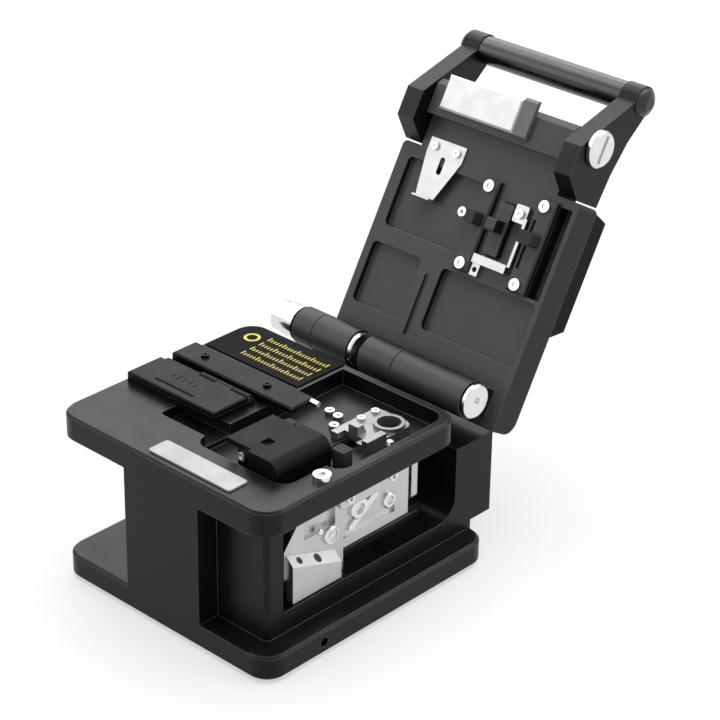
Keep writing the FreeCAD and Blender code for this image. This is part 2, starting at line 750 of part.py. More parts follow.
def label_plate():
    x0 = HALF_W - LABEL_FROM_RIGHT
    y0 = FRONT + LABEL_FROM_FRONT
    return rounded(box(x0, x0 + LABEL_W, y0, y0 + LABEL_D, DECK_TOP, DECK_TOP + LABEL_T), 2, LABEL_CORNER)


def scale_plate():
    x0 = -HALF_W + SCALE_FROM_LEFT
    y1 = DECK_REAR - SCALE_FROM_REAR
    plate = box(x0, POCKET_LEFT - SCALE_FROM_POCKET, y1 - SCALE_D, y1, DECK_TOP, DECK_TOP + SCALE_T)
    return rounded(plate, 2, BASE_CORNER - SCALE_FROM_REAR, lambda c: c.x < x0 + 1 and c.y > y1 - 1)


def stop_screw():
    place = (HALF_W - STOP_FROM_RIGHT, FIBRE_Y - STOP_BEFORE_FIBRE, DECK_TOP)
    return pan_screw(STOP_R, STOP_H, place, (0, 0, 1))


# ---- fibre holder on the deck ----
def holder_base():
    """Plate with the fibre's groove and the two fixed knuckles of its flap."""
    plate = box(HOLDER_X, HOLDER_END, HOLDER_Y, HOLDER_REAR, DECK_TOP, FIBRE_Z)
    half = GROOVE_W / 2
    groove = profile([(FIBRE_Y - half, FIBRE_Z), (FIBRE_Y, FIBRE_Z - half), (FIBRE_Y + half, FIBRE_Z)],
                     "yz", HOLDER_X - PAST, HOLDER_END - HOLDER_X + 2 * PAST)
    plate = plate.cut(groove)
    middle = FLAP_X0 + FLAP_KNUCKLE_L
    for x in (FLAP_X0, middle + FLAP_KNUCKLE_L):
        x1 = x + FLAP_KNUCKLE_L - GAP
        foot = box(x, x1, FLAP_Y - FLAP_KNUCKLE_R, HOLDER_REAR, DECK_TOP, FLAP_Z)
        plate = fuse(plate, cyl_x(FLAP_KNUCKLE_R, x, x1, FLAP_Y, FLAP_Z), foot)
    room = FLAP_KNUCKLE_R + GAP
    space = box(middle, middle + FLAP_KNUCKLE_L, FLAP_Y - room, HOLDER_REAR + PAST,
                FLAP_Z - room, HOLDER_TOP + PAST)
    bore = cyl_x(FLAP_PIN_R + RUN, FLAP_X0 - PAST, HOLDER_END + PAST, FLAP_Y, FLAP_Z)
    return plate.cut(space).cut(bore)


def holder_flap():
    """Flap over the fibre's groove, with cut length marks and a thumb groove."""
    front = box(HOLDER_X, HOLDER_END, HOLDER_Y, FLAP_Y - FLAP_KNUCKLE_R - GAP, FLAP_Z0, FLAP_TOP)
    front = front.makeChamfer(FLAP_EDGE, edges_at(front, 2, FLAP_TOP))
    x0 = FLAP_X0 + FLAP_KNUCKLE_L
    x1 = x0 + FLAP_KNUCKLE_L - GAP
    barrel = cyl_x(FLAP_KNUCKLE_R, x0, x1, FLAP_Y, FLAP_Z)
    tongue = box(x0, x1, FLAP_Y - FLAP_KNUCKLE_R - 2 * GAP, FLAP_Y, FLAP_Z0, FLAP_TOP - GAP)
    flap = fuse(front, barrel, tongue).cut(cyl_x(FLAP_PIN_R + RUN, x0 - PAST, x1 + PAST, FLAP_Y, FLAP_Z))
    y0 = FIBRE_Y - MARK_BEFORE_FIBRE
    for k in range(MARK_COUNT):
        x = HOLDER_X + MARK_FROM_LEFT + MARK_PITCH * k
        length = MARK_L * (1 + 0.5 * (k % 2))
        flap = flap.cut(box(x, x + MARK_W, y0, y0 + length, FLAP_TOP - MARK_DEPTH, FLAP_TOP + PAST))
    y = FIBRE_Y - THUMB_BEFORE_FIBRE
    half = THUMB_GROOVE_HALF
    groove = profile([(y - half, FLAP_TOP), (y, FLAP_TOP - half), (y + half, FLAP_TOP)],
                     "yz", HOLDER_X + THUMB_FROM_LEFT, THUMB_GROOVE_L)
    return flap.cut(groove)


def flap_pin():
    return cyl_x(FLAP_PIN_R, FLAP_X0, HOLDER_END - GAP, FLAP_Y, FLAP_Z)


def rear_rest():
    """Plate behind the holder that carries the fibre's tail and reaches over the pocket's left edge."""
    plate = box(HOLDER_X, REST_END, REST_Y, REST_Y + REST_D, DECK_TOP, DECK_TOP + REST_T)
    plate = plate.makeChamfer(REST_EDGE, edges_at(plate, 2, DECK_TOP + REST_T))
    return plate.cut(box(POCKET_LEFT, REST_END + PAST, REST_Y - PAST, REST_Y + REST_D + PAST,
                         DECK_TOP - PAST, DECK_TOP + REST_BRIDGE))


def rear_rest_screws():
    z = DECK_TOP + REST_T
    y = REST_Y + REST_D / 2
    places = (HOLDER_X + REST_SCREW_IN, POCKET_LEFT - REST_SCREW_IN / 2)
    return group([pan_screw(REST_SCREW_R, REST_SCREW_H, (x, y, z), (0, 0, 1)) for x in places])


def rest_pin():
    """Bright pin in the rear rest's right end."""
    y = REST_Y + REST_D - REST_PIN_FROM_REAR
    return cyl_x(REST_PIN_R, REST_END, REST_END + REST_PIN_L, y, DECK_TOP + (REST_BRIDGE + REST_T) / 2)


# ---- deck pocket: blade guard and lower clamp ----
def blade_guard():
    """Hollow guard over the blade, with a wing over the pocket towards the holder."""
    y1 = GUARD_Y + GUARD_D
    body = box(GUARD_X, GUARD_X + GUARD_W, GUARD_Y, y1, POCKET_FLOOR, GUARD_TOP)
    body = rounded(body, 1, GUARD_NOSE_R, lambda c: c.x > GUARD_X + 1 and c.z > GUARD_TOP - 1)
    wing_y = GUARD_Y + WING_IN
    wing = box(GUARD_X - WING_L, GUARD_X + PAST, wing_y, wing_y + WING_D, GUARD_TOP - WING_T, GUARD_TOP)
    shape = fuse(body, wing)
    half = SLOT_W / 2 + ARM_INNER
    room = box(BLADE_X - half, BLADE_X + half, GUARD_Y + GUARD_WALL, y1 + PAST,
               POCKET_FLOOR - PAST, BLADE_Z + BLADE_R + GAP)
    shape = shape.cut(room)
    dimple_y = GUARD_Y + GUARD_DIMPLE_Y
    dimple = box(GUARD_X - PAST, GUARD_X + GUARD_DIMPLE_L, dimple_y, dimple_y + GUARD_DIMPLE_W,
                 GUARD_TOP - GUARD_DIMPLE_DEPTH, GUARD_TOP + PAST)
    return shape.cut(dimple).removeSplitter()


def guard_screw():
    z = GUARD_TOP - WING_T - GUARD_SCREW_UNDER
    return pan_screw(GUARD_SCREW_R, GUARD_SCREW_H, (GUARD_X - GUARD_POST_X, GUARD_Y + WING_IN, z), (0, -1, 0))


def guard_post():
    """Post under the guard's wing, standing on the pocket's floor."""
    x = GUARD_X - GUARD_POST_X
    y = GUARD_Y + WING_IN
    half = GUARD_POST_W / 2
    return box(x - half, x + half, y, y + GUARD_POST_D, POCKET_FLOOR, GUARD_TOP - WING_T)


def lower_clamp():
    """Machined plate on the pocket's floor, notched for the blade, with an ear behind the notch."""
    z0 = POCKET_FLOOR
    z1 = z0 + CLAMP_T
    x1 = CLAMP_X + CLAMP_W
    plate = box(CLAMP_X, x1, CLAMP_Y, CLAMP_Y + CLAMP_D, z0, z1)
    plate = rounded(plate, 2, CLAMP_CORNER, lambda c: c.y > CLAMP_Y + 1)
    half = SLOT_W / 2 + SLOT_ROOM / 2
    notch = box(BLADE_X - half, BLADE_X + half, CLAMP_Y - PAST, CLAMP_Y + CLAMP_NOTCH_D, z0, z1)
    x = CLAMP_X + CLAMP_HOLE_X
    y = CLAMP_Y + CLAMP_HOLE_Y
    ring = cyl_z(CLAMP_HOLE_R + CLAMP_RING_W, z0, z1 + CLAMP_RING_H, x, y)
    hole = cyl_z(CLAMP_HOLE_R, z0 - PAST, z1 + CLAMP_RING_H + PAST, x, y)
    strip = box(x1 - CLAMP_STRIP_W, x1, CLAMP_Y, CLAMP_Y + CLAMP_STRIP_D, z0, z1 + CLAMP_STRIP_H)
    ear_y = CLAMP_Y + CLAMP_NOTCH_D
    ear_rear = ear_y + EAR_D
    ear_top = z0 + EAR_H
    outline = [(ear_y, z0), (ear_y, ear_top), (ear_y + EAR_TOP_D, ear_top), (ear_rear, z1), (ear_rear, z0)]
    ear = profile(outline, "yz", CLAMP_X + EAR_X, EAR_W)
    return fuse(plate, ring, strip).cut(notch).fuse(ear).cut(hole).removeSplitter()


def lower_clamp_screws():
    z = POCKET_FLOOR + CLAMP_T
    x = CLAMP_X + CLAMP_STRIP_W - GAP
    places = [(x, CLAMP_Y + CLAMP_HOLE_Y - CLAMP_CORNER), (x, CLAMP_Y + CLAMP_HOLE_Y + CLAMP_CORNER)]
    return group([pan_screw(CLAMP_SCREW_R, CLAMP_SCREW_H, (a, b, z), (0, 0, 1)) for a, b in places])


def scrap_post():
    """Ball-ended post in the pocket beside the clamp."""
    x = POCKET_RIGHT - SCRAP_POST_IN
    y = CLAMP_Y + SCRAP_POST_Y
    middle = SCRAP_BALL_UP
    ball = SCRAP_BALL_R
    slant = ball * 0.7
    outline = [(0, 0), (0, SCRAP_STEM_R), (middle - slant, SCRAP_STEM_R), (middle, ball),
               (middle + slant, slant), (middle + ball, 0)]
    return turned(outline, (x, y, POCKET_FLOOR), (0, 0, 1))


def deck_screws():
    """Three screws in the pocket's floor, in a row that bends round the clamp's left corner."""
    pitch = 2 * DECK_SCREW_R
    screws = []
    for across, back in ((1.0, 1.5), (2.0, 3.1), (3.3, 3.3)):
        place = (CLAMP_X - across * pitch, CLAMP_Y + back * pitch, POCKET_FLOOR)
        screws.append(pan_screw(DECK_SCREW_R, DECK_SCREW_H, place, (0, 0, 1)))
    return group(screws)


# ---- rail and carriage ----
def guide_rail():
    half = RAIL_W / 2
    rear = WINDOW_Y1 - WINDOW_CORNER
    rail = box(RAIL_X - half, RAIL_X + half, WINDOW_Y0 + RAIL_FRONT, rear, SILL, RAIL_TOP)
    for x in (RAIL_X - half, RAIL_X + half):
        rail = rail.cut(cyl_y(RAIL_GROOVE_R, WINDOW_Y0, WINDOW_Y1, x, SILL + RAIL_H / 2))
    for y in rail_holes():
        rail = rail.cut(cyl_z(RAIL_SCREW_R + FIT, RAIL_TOP - RAIL_SCREW_SINK, RAIL_TOP + PAST, RAIL_X, y))
    return rail


def rail_holes():
    first = WINDOW_Y0 + RAIL_FRONT + RAIL_SCREW_IN
    last = WINDOW_Y1 - WINDOW_CORNER - RAIL_SCREW_IN
    return [first + (last - first) * k / (RAIL_SCREWS - 1) for k in range(RAIL_SCREWS)]


def rail_screws():
    z = RAIL_TOP - RAIL_SCREW_SINK
    return group([pan_screw(RAIL_SCREW_R, RAIL_SCREW_H, (RAIL_X, y, z), (0, 0, 1)) for y in rail_holes()])


def carriage_block():
    """Machined block: a long bar with a foot in front that straddles the rail, and a well for the blade."""
    y = CARR_FRONT
    foot_y = y + CARR_FOOT_IN
    land_y = y + FRONT_PLATE_T
    foot_z = SILL + GAP
    land_z = NOSE_Z - FRONT_LAND_H
    foot_rear = y + CARR_FOOT_L
    slope_y = y + CARR_NOSE_RUN
    outline = [(foot_y, foot_z), (foot_y, land_z), (land_y, land_z), (land_y, NOSE_Z),
               (y, NOSE_Z), (slope_y, NOSE_Z + CARR_NOSE_RISE), (slope_y + CARR_NOSE_END, CARR_TOP),
               (CARR_REAR, CARR_TOP), (CARR_REAR, CARR_BAR_Z), (foot_rear, CARR_BAR_Z), (foot_rear, foot_z)]
    shape = profile(outline, "yz", CARR_LEFT, CARR_W)
    rail_half = RAIL_W / 2 + RAIL_PLAY
    shape = shape.cut(box(RAIL_X - rail_half, RAIL_X + rail_half, y - PAST, CARR_REAR + PAST,
                          SILL, RAIL_TOP + RAIL_PLAY))
    right = CARR_RIGHT + PAST
    shape = shape.cut(box(CARR_RIGHT - SEAT_DEPTH, right, y + SEAT_FRONT, y + CARR_FOOT_L - SEAT_REAR,
                          CARR_TOP - SEAT_H, CARR_TOP + PAST))
    line_z = CARR_BAR_Z + LINE_UP
    shape = shape.cut(box(CARR_RIGHT - LINE_DEPTH, right, y + CARR_FOOT_L, CARR_REAR - LINE_END,
                          line_z, line_z + LINE_H))
    for hole_y, hole_z, radius in side_holes():
        shape = shape.cut(cyl_x(radius, CARR_RIGHT - BORE_DEPTH, right, hole_y, hole_z))
    reach = BLADE_R + ARM_FOOT
    well = box(BLADE_X - WELL_HALF, BLADE_X + WELL_HALF, BLADE_Y - reach, BLADE_Y + reach,
               WELL_FLOOR, CARR_TOP + PAST)
    return shape.cut(well).removeSplitter()


def side_holes():
    """(y, z, radius) of the holes bored into the carriage's right side."""
    y = CARR_FRONT
    z = CARR_BAR_Z
    return [(y + behind, z + up, radius) for behind, up, radius in SIDE_BORES]


def carriage_front_plate():
    """Flange under the carriage's nose."""
    plate = box(CARR_LEFT + FRONT_PLATE_IN, CARR_RIGHT, CARR_FRONT, CARR_FRONT + FRONT_PLATE_T - SEAM,
                NOSE_Z - FRONT_PLATE_DROP, NOSE_Z - SEAM)
    return rounded(plate, 1, FRONT_PLATE_CORNER, lambda c: c.z < NOSE_Z - 1)


def carriage_front_screws():
    z = NOSE_Z - FRONT_LAND_H / 2
    places = (CARR_LEFT + FRONT_PLATE_IN + FRONT_SCREW_IN, CARR_RIGHT - FRONT_SCREW_IN)
    return group([pan_screw(FRONT_SCREW_R, FRONT_SCREW_H, (x, CARR_FRONT, z), (0, -1, 0)) for x in places])


def carriage_rear_plate():
    """Plate behind the carriage on two short posts."""
    y0 = CARR_REAR + REAR_PLATE_OUT
    plate = box(CARR_LEFT + REAR_PLATE_IN, CARR_RIGHT, y0, y0 + REAR_PLATE_T,
                CARR_BAR_Z + REAR_PLATE_LOW, CARR_TOP - REAR_PLATE_TOP)
    plate = rounded(plate, 1, REAR_PLATE_CORNER)
    posts = [cyl_y(REAR_POST_R, CARR_REAR, y0 + REAR_PLATE_T / 2, x, CARR_BAR_Z + REAR_POST_UP)
             for x in (CARR_LEFT + REAR_POST_IN, CARR_RIGHT - REAR_POST_IN)]
    return fuse(plate, *posts)


def side_cover():
    """Cover on the carriage's right side, over the blade's well."""
    y = CARR_FRONT + SIDE_COVER_FRONT
    z1 = CARR_TOP - SIDE_COVER_DOWN
    plate = box(CARR_RIGHT, CARR_RIGHT + SIDE_COVER_T, y, y + SIDE_COVER_L, z1 - SIDE_COVER_H, z1)
    return rounded(plate, 0, SIDE_COVER_CORNER)


def side_cover_screws():
    y = CARR_FRONT + SIDE_COVER_FRONT
    z = CARR_TOP - SIDE_COVER_DOWN - SIDE_COVER_H / 2
    places = (y + SIDE_COVER_SCREW_IN, y + SIDE_COVER_L - SIDE_COVER_SCREW_IN)
    face = CARR_RIGHT + SIDE_COVER_T
    return group([pan_screw(SIDE_COVER_SCREW_R, SIDE_COVER_SCREW_H, (face, place, z), (1, 0, 0))
                  for place in places])


def blade_arm():
    """Two cheeks that carry the blade's axle, standing in the carriage's well."""
    inner = BLADE_T / 2 + ARM_INNER
    y0 = BLADE_Y - ARM_D / 2
    y1 = BLADE_Y + ARM_D / 2
    arm = box(BLADE_X - ARM_OUT, BLADE_X + ARM_OUT, y0, y1, WELL_FLOOR, BLADE_Z - BLADE_R - GAP)
    for x0, x1 in ((BLADE_X - ARM_OUT, BLADE_X - inner), (BLADE_X + inner, BLADE_X + ARM_OUT)):
        cheek = box(x0, x1, y0, y1, WELL_FLOOR, ARM_TOP)
        arm = fuse(arm, rounded(cheek, 0, ARM_CORNER, lambda c: c.z > ARM_TOP - 1))
    return arm.cut(cyl_x(AXLE_R, BLADE_X - ARM_OUT - PAST, BLADE_X + ARM_OUT + PAST, BLADE_Y, BLADE_Z))


def blade_axle():
    return cyl_x(AXLE_R - FIT, BLADE_X - ARM_OUT, BLADE_X + ARM_OUT, BLADE_Y, BLADE_Z)


def blade_wheel():
    """Disc sharpened all round its rim."""
    flat = BLADE_T / 2
    bore = AXLE_R + RUN
    shoulder = BLADE_R - BLADE_BEVEL
    points = [(-flat, bore), (-flat, shoulder), (0, BLADE_R), (flat, shoulder), (flat, bore)]
    return turned(points, (BLADE_X, BLADE_Y, BLADE_Z), (1, 0, 0))


# ---- hinge ----
def hinge_bracket(x0, length):
    """Knuckle on a pedestal that stands on the casting's rear block."""
    barrel = cyl_x(BARREL_R, x0, x0 + length, HINGE_Y, HINGE_Z)
    post = box(x0, x0 + length, HINGE_Y - BRACKET_FRONT, HINGE_Y + BRACKET_REAR, REAR_TOP, HINGE_Z)
    return fuse(barrel, post).cut(cyl_x(PIN_R + FIT, x0 - PAST, x0 + length + PAST, HINGE_Y, HINGE_Z))


def hinge_bracket_left():
    return hinge_bracket(KNUCKLE2_X, LEFT_BRACKET_L)


def hinge_bracket_right():
    return hinge_bracket(KNUCKLE3_X, RIGHT_BRACKET_L)


def pin_head(x):
    face = x + PIN_HEAD_T
    head = cyl_x(PIN_HEAD_R, x, face, HINGE_Y, HINGE_Z)
    head = head.makeChamfer(PIN_HEAD_EDGE, edges_at(head, 0, face))
    return head.cut(cyl_x(PIN_DIMPLE_R, face - PIN_DIMPLE, face + PAST, HINGE_Y, HINGE_Z))


def hinge_pin_left():
    shank = cyl_x(PIN_R, KNUCKLE1_X - GAP - KNOB_SOCKET, KNUCKLE2_END, HINGE_Y, HINGE_Z)
    return fuse(shank, pin_head(KNUCKLE2_END))


def hinge_pin_right():
    head_x = BARREL_END + GAP
    return fuse(cyl_x(PIN_R, KNUCKLE3_X + PAST, head_x, HINGE_Y, HINGE_Z), pin_head(head_x))


def hinge_knob():
    """Turned cap on the free end of the left pin, in two steps with a tapered end."""
    points = [(0, 0), (0, KNOB_END_R), (KNOB_L / 8, KNOB_R - KNOB_NECK), (KNOB_L / 2, KNOB_R - KNOB_NECK),
              (KNOB_L / 2, KNOB_R), (KNOB_L - 2 * KNOB_NECK, KNOB_R), (KNOB_L - 2 * KNOB_NECK, KNOB_END_R),
              (KNOB_L, KNOB_END_R), (KNOB_L, 0)]
    x0 = KNUCKLE1_X - GAP - KNOB_L
    knob = turned(points, (x0, HINGE_Y, HINGE_Z), (1, 0, 0))
    return knob.cut(cyl_x(PIN_R + FIT, x0 + KNOB_L - KNOB_SOCKET, x0 + KNOB_L + PAST, HINGE_Y, HINGE_Z))


# ---- lid ----
def lid_shell():
    """Lid's casting: a wide plate, a narrower neck with the tongue, and two knuckles at the hinge."""
    wide = lid_box(LID_LEFT, LID_RIGHT, LID_REAR_S, LID_NOTCH_S, LID_IN_H, LID_OUT_H)
    wide = rounded(wide, 0, LID_REAR_CORNER,
                   lambda c: c.y > lid_y(LID_REAR_S) - 1 and c.z > lid_z(LID_OUT_H) - 1)
    wide = rounded(wide, 2, LID_SIDE_CORNER, lambda c: c.y < lid_y(LID_NOTCH_S) + 1)
    neck = lid_box(LID_NECK_LEFT, LID_NECK_RIGHT, LID_NOTCH_S - PAST, LID_FRONT_S, LID_IN_H, LID_OUT_H)
    shape = fuse(wide, neck, lid_tongue())
    for x0, x1, web_x in ((BARREL_X, BARREL_END, BARREL_X), (KNUCKLE1_X, KNUCKLE1_END, LID_LEFT)):
        knuckle = cyl_x(BARREL_R, x0, x1, HINGE_Y, HINGE_Z)
        web = lid_box(web_x, x1, -HINGE_WEB_HALF, HINGE_WEB_HALF, 0, LID_IN_H + PAST)
        shape = fuse(shape, knuckle, web)
    shape = shape.cut(cyl_x(PIN_R + RUN, KNUCKLE1_X - PAST, BARREL_END + PAST, HINGE_Y, HINGE_Z))
    for cut in lid_recesses():
        shape = shape.cut(cut)
    rib = lid_box(RIB_X, RIB_X + RIB_W, RIB_REAR_S, RIB_FRONT_S, LID_IN_H - RIB_W, LID_IN_H + RECESS)
    shape = shape.fuse(rib)
    for x0, x1 in ((LID_NECK_LEFT - PAST, LATCH_X), (LID_NECK_RIGHT - PIVOT_IN, LID_NECK_RIGHT + PAST)):
        shape = shape.cut(cyl_x(PIVOT_R, x0, x1, lid_y(PIVOT_S), lid_z(PIVOT_H)))
    shape = shape.cut(lid_box(LATCH_X - LATCH_PLAY, LATCH_X + LATCH_W + LATCH_PLAY, LID_FRONT_S - 2 * SEAM,
                              NOSE_S + PAST, 0, LATCH_TOP))
    return opened(shape.removeSplitter())


def lid_tongue():
    """Bar across the neck's front, with its front corners cut back."""
    back = LID_FRONT_S - 2 * PAST
    front = NOSE_S - TONGUE_EDGE
    edge = front - TONGUE_EDGE
    outline = [(back, TONGUE_LOW), (edge, TONGUE_LOW), (front, TONGUE_LOW + TONGUE_EDGE),
               (front, TONGUE_HIGH - TONGUE_EDGE), (edge, TONGUE_HIGH), (back, TONGUE_HIGH)]
    return lid_profile(outline, LID_NECK_LEFT, LID_NECK_RIGHT)


def lid_recesses():
    """Pockets in the lid's inner face."""
    h0 = LID_IN_H - PAST
    floor = LID_IN_H + RECESS
    left = LID_LEFT + RECESS_EDGE
    areas = ((left, RIB_X - RECESS_EDGE, RECESS_REAR_S, RECESS_MID_S),
             (left + RECESS_EDGE / 2, BAR_LEFT_X - PAST, RECESS_UPPER_S, RECESS_FRONT_S),
             (RIB_X + 2 * RECESS_EDGE, LID_RIGHT - RIGHT_WALL, RECESS_REAR_S, RECESS_MID_S))
    cuts = [rounded(lid_box(x0, x1, s0, s1, h0, floor), 2, RECESS_CORNER) for x0, x1, s0, s1 in areas]
    channel = lid_box(CHANNEL_X, LID_RIGHT - RIGHT_WALL, BAR_S0, LID_NOTCH_S - RECESS_EDGE,
                      h0, LID_IN_H + CHANNEL_DEPTH)
    anvil_pocket = lid_box(ANVIL_X - GAP, ANVIL_X + ANVIL_W + GAP, ANVIL_S0 - GAP, ANVIL_S0 + ANVIL_L + GAP,
                           h0, ANVIL_POCKET)
    return cuts + [channel, anvil_pocket]


def lid_cover():
    """Raised cover on the lid's outer face, sloped at both ends."""
    base = LID_OUT_H + SEAM
    rear = COVER_S0 + COVER_REAR_SLOPE
    front = COVER_S1 - COVER_FRONT_SLOPE
    outline = [(COVER_S0, base), (rear, COVER_H_TOP - COVER_EDGE), (rear + COVER_EDGE, COVER_H_TOP),
               (front - COVER_EDGE, COVER_H_TOP), (front, COVER_H_TOP - COVER_EDGE), (COVER_S1, base)]
    shape = lid_profile(outline, COVER_LEFT, COVER_RIGHT)
    shape = shape.makeChamfer(COVER_EDGE, edges_along(shape, 1, lambda c: c.z > lid_z(COVER_H_TOP) - SEAM))
    floor = lid_z(COVER_H_TOP - LID_SCREW_SINK)
    for x, s in cover_screw_places():
        shape = shape.cut(cyl_z(LID_SCREW_R + FIT, floor, lid_z(COVER_H_TOP + PAST), x, lid_y(s)))
    return opened(shape)


def cover_screw_places():
    return [(x, s) for x in (COVER_LEFT + LID_SCREW_IN, COVER_RIGHT - LID_SCREW_IN)
            for s in (COVER_S0 + LID_SCREW_END, COVER_S1 - LID_SCREW_END)]


def cover_screws():
    z = lid_z(COVER_H_TOP - LID_SCREW_SINK)
    return group([opened(pan_screw(LID_SCREW_R, LID_SCREW_H, (x, lid_y(s), z), (0, 0, 1)))
                  for x, s in cover_screw_places()])


def spring_plate():
    """Pressed triangle of spring steel with a bent foot and a slot."""
    h1 = LID_IN_H - SEAM
    h0 = h1 - SPRING_T
    x0 = SPRING_X
    x1 = x0 + SPRING_W
    tip = x0 + SPRING_TIP_X
    tip_end = tip + SPRING_TIP_W
    shoulder = SPRING_S - SPRING_SHOULDER
    foot = SPRING_S - SPRING_L
    outline = [(x0, SPRING_S), (x1, SPRING_S), (x1, shoulder), (tip_end, foot), (tip, foot), (x0, shoulder)]
    plate = profile([(x, lid_y(s)) for x, s in outline], "xy", lid_z(h0), SPRING_T)
    tab = lid_box(tip, tip_end, foot, foot + SPRING_T, LID_IN_H - SPRING_TAB, h1)
    slot_x = x0 + (SPRING_W - SPRING_SLOT_W) / 2
    slot = lid_box(slot_x, slot_x + SPRING_SLOT_W, shoulder - SPRING_SLOT_L, shoulder, h0 - PAST, h1 + PAST)
    return opened(fuse(plate, tab).cut(rounded(slot, 2, SPRING_SLOT_W / 2 - FIT)))


def spring_plate_screws():
    z = lid_z(LID_IN_H - SEAM - SPRING_T)
    y = lid_y(SPRING_S - SPRING_SHOULDER / 2)
    return group([opened(pan_screw(SPRING_SCREW_R, SPRING_SCREW_H, (x, y, z), (0, 0, -1)))
                  for x in (SPRING_X + SPRING_SCREW_IN, SPRING_X + SPRING_W - SPRING_SCREW_IN)])


def clamp_bar(x, width):
    bar = lid_box(x, x + width, BAR_S0, BAR_S1, LID_IN_H - BAR_T, LID_IN_H)
    return bar.makeChamfer(BAR_EDGE, edges_at(bar, 2, lid_z(LID_IN_H - BAR_T)))


def clamp_bar_left():
    return opened(clamp_bar(BAR_LEFT_X, BAR_LEFT_W))


def clamp_bar_right():
    x = BAR_RIGHT_X + BAR_SLOT_W
    slot = lid_box(x, x + BAR_SLOT_W, BAR_S0 + BAR_SLOT_IN, BAR_S1 - BAR_SLOT_IN, 0, LID_IN_H - BAR_T / 2)
    return opened(clamp_bar(BAR_RIGHT_X, BAR_RIGHT_W).cut(slot))


def clamp_bar_screws():
    z = lid_z(LID_IN_H - BAR_T)
    places = [(x, s) for x in (BAR_LEFT_X + BAR_LEFT_W / 2, BAR_RIGHT_X + BAR_RIGHT_W / 2)
              for s in (BAR_S0 + BAR_SCREW_IN, BAR_S1 - BAR_SCREW_IN)]
    return group([opened(pan_screw(BAR_SCREW_R, BAR_SCREW_H, (x, lid_y(s), z), (0, 0, -1)))
                  for x, s in places])


def fibre_pads(z0, z1):
    """A pad on the fibre's line under each clamp bar, one each side of the blade."""
    shapes = []
    for x0, x1 in ((BAR_LEFT_X, BAR_LEFT_X + BAR_LEFT_W), (BAR_RIGHT_X, BAR_RIGHT_X + BAR_RIGHT_W)):
        pad = box(x0 + GRIP_PAD_INSET, x1 - GRIP_PAD_INSET,
                  FIBRE_Y - GRIP_PAD_HALF, FIBRE_Y + GRIP_PAD_HALF, z0, z1)
        shapes.append(rounded(pad, 2, GRIP_PAD_ROUND))
    return shapes


def upper_pads():
    """Rubber pads that stand out of the lid's clamp bars over the fibre."""
    return group([opened(pad) for pad in fibre_pads(FIBRE_Z + GRIP_PAD_FIBRE, lid_z(LID_IN_H - BAR_T))])


def lower_pads():
    """Blocks on the pocket's floor that meet the upper pads."""
    return group(fibre_pads(POCKET_FLOOR, FIBRE_Z - GRIP_PAD_FIBRE / 2))


def anvil():
    """Sprung block between the clamp bars, with the foot that bends the fibre over the blade."""
    x1 = ANVIL_X + ANVIL_W
    top = ANVIL_POCKET - SPRING_FREE - ANVIL_TRAVEL
    body = lid_box(ANVIL_X, x1, ANVIL_S0, ANVIL_S0 + ANVIL_L, LID_IN_H - BAR_T, top)
    foot = box(ANVIL_X + ANVIL_FOOT_IN, x1 - ANVIL_FOOT_IN, FIBRE_Y - GRIP_PAD_HALF, FIBRE_Y + GRIP_PAD_HALF,
               FIBRE_Z + GRIP_PAD_FIBRE, lid_z(LID_IN_H))
    foot = rounded(foot, 0, GRIP_PAD_ROUND, lambda c: c.z < lid_z(LID_IN_H - BAR_T))
    return opened(fuse(body, foot))


def anvil_spring():
    """Wave washer at the bottom of the anvil's pocket."""
    x = ANVIL_X + ANVIL_W / 2
    y = lid_y(ANVIL_S0 + ANVIL_L / 2)
    z1 = lid_z(ANVIL_POCKET) - SEAM
    ring = cyl_z(WASHER_R, z1 - WASHER_T, z1, x, y)
    return opened(ring.cut(cyl_z(WASHER_HOLE_R, z1 - WASHER_T - PAST, z1 + PAST, x, y)))


def anvil_keeper():
    """Bright plate that keeps the anvil in its pocket."""
    s1 = ANVIL_S0 + ANVIL_L + PAST
    plate = lid_box(KEEPER_X, KEEPER_X + KEEPER_W, s1 - KEEPER_D, s1, LID_IN_H - KEEPER_T, LID_IN_H)
    return opened(rounded(plate, 2, KEEPER_CORNER))


def anvil_keeper_screw():
    s = ANVIL_S0 + ANVIL_L + PAST - KEEPER_D / 2
    return opened(pan_screw(KEEPER_SCREW_R, KEEPER_SCREW_H,
                            (KEEPER_X + KEEPER_W / 2, lid_y(s), lid_z(LID_IN_H - KEEPER_T)), (0, 0, -1)))


def guide_strip():
    """Bright edge strip beside the right clamp bar."""
    x0 = BAR_RIGHT_X - STRIP_FROM_BAR
    s0 = BAR_S0 + STRIP_S
    return opened(lid_box(x0, x0 + STRIP_W, s0, s0 + STRIP_L, LID_IN_H - STRIP_H, LID_IN_H))


def clamp_bracket():
    """Bent bright bracket across the hinge side of the clamp, with an ear."""
    s0 = BAR_S0 + BRACKET_S
    x0 = BAR_LEFT_X + BAR_LEFT_W + GAP
    x1 = BAR_RIGHT_X - STRIP_FROM_BAR - GAP
    plate = lid_box(x0, x1, s0, s0 + BRACKET_D, LID_IN_H - BRACKET_T, LID_IN_H)
    ear = lid_box(x0, x0 + BRACKET_EAR_W, s0 - BRACKET_EAR_L, s0, LID_IN_H - BRACKET_EAR_T, LID_IN_H)
    hole = cyl_z(BRACKET_HOLE_R, lid_z(0), lid_z(LID_OUT_H),
                 x0 + BRACKET_EAR_W / 2, lid_y(s0 - BRACKET_EAR_L / 2))
    return opened(fuse(plate, ear).cut(hole))


def release_pin():
    """Small bright pin that stands out of the lid's recess beside the clamp."""
    place = (BAR_LEFT_X - RELEASE_FROM_BAR, lid_y(RELEASE_S), lid_z(LID_IN_H + RECESS))
    return opened(pan_screw(RELEASE_R, RELEASE_H + RECESS, place, (0, 0, -1)))


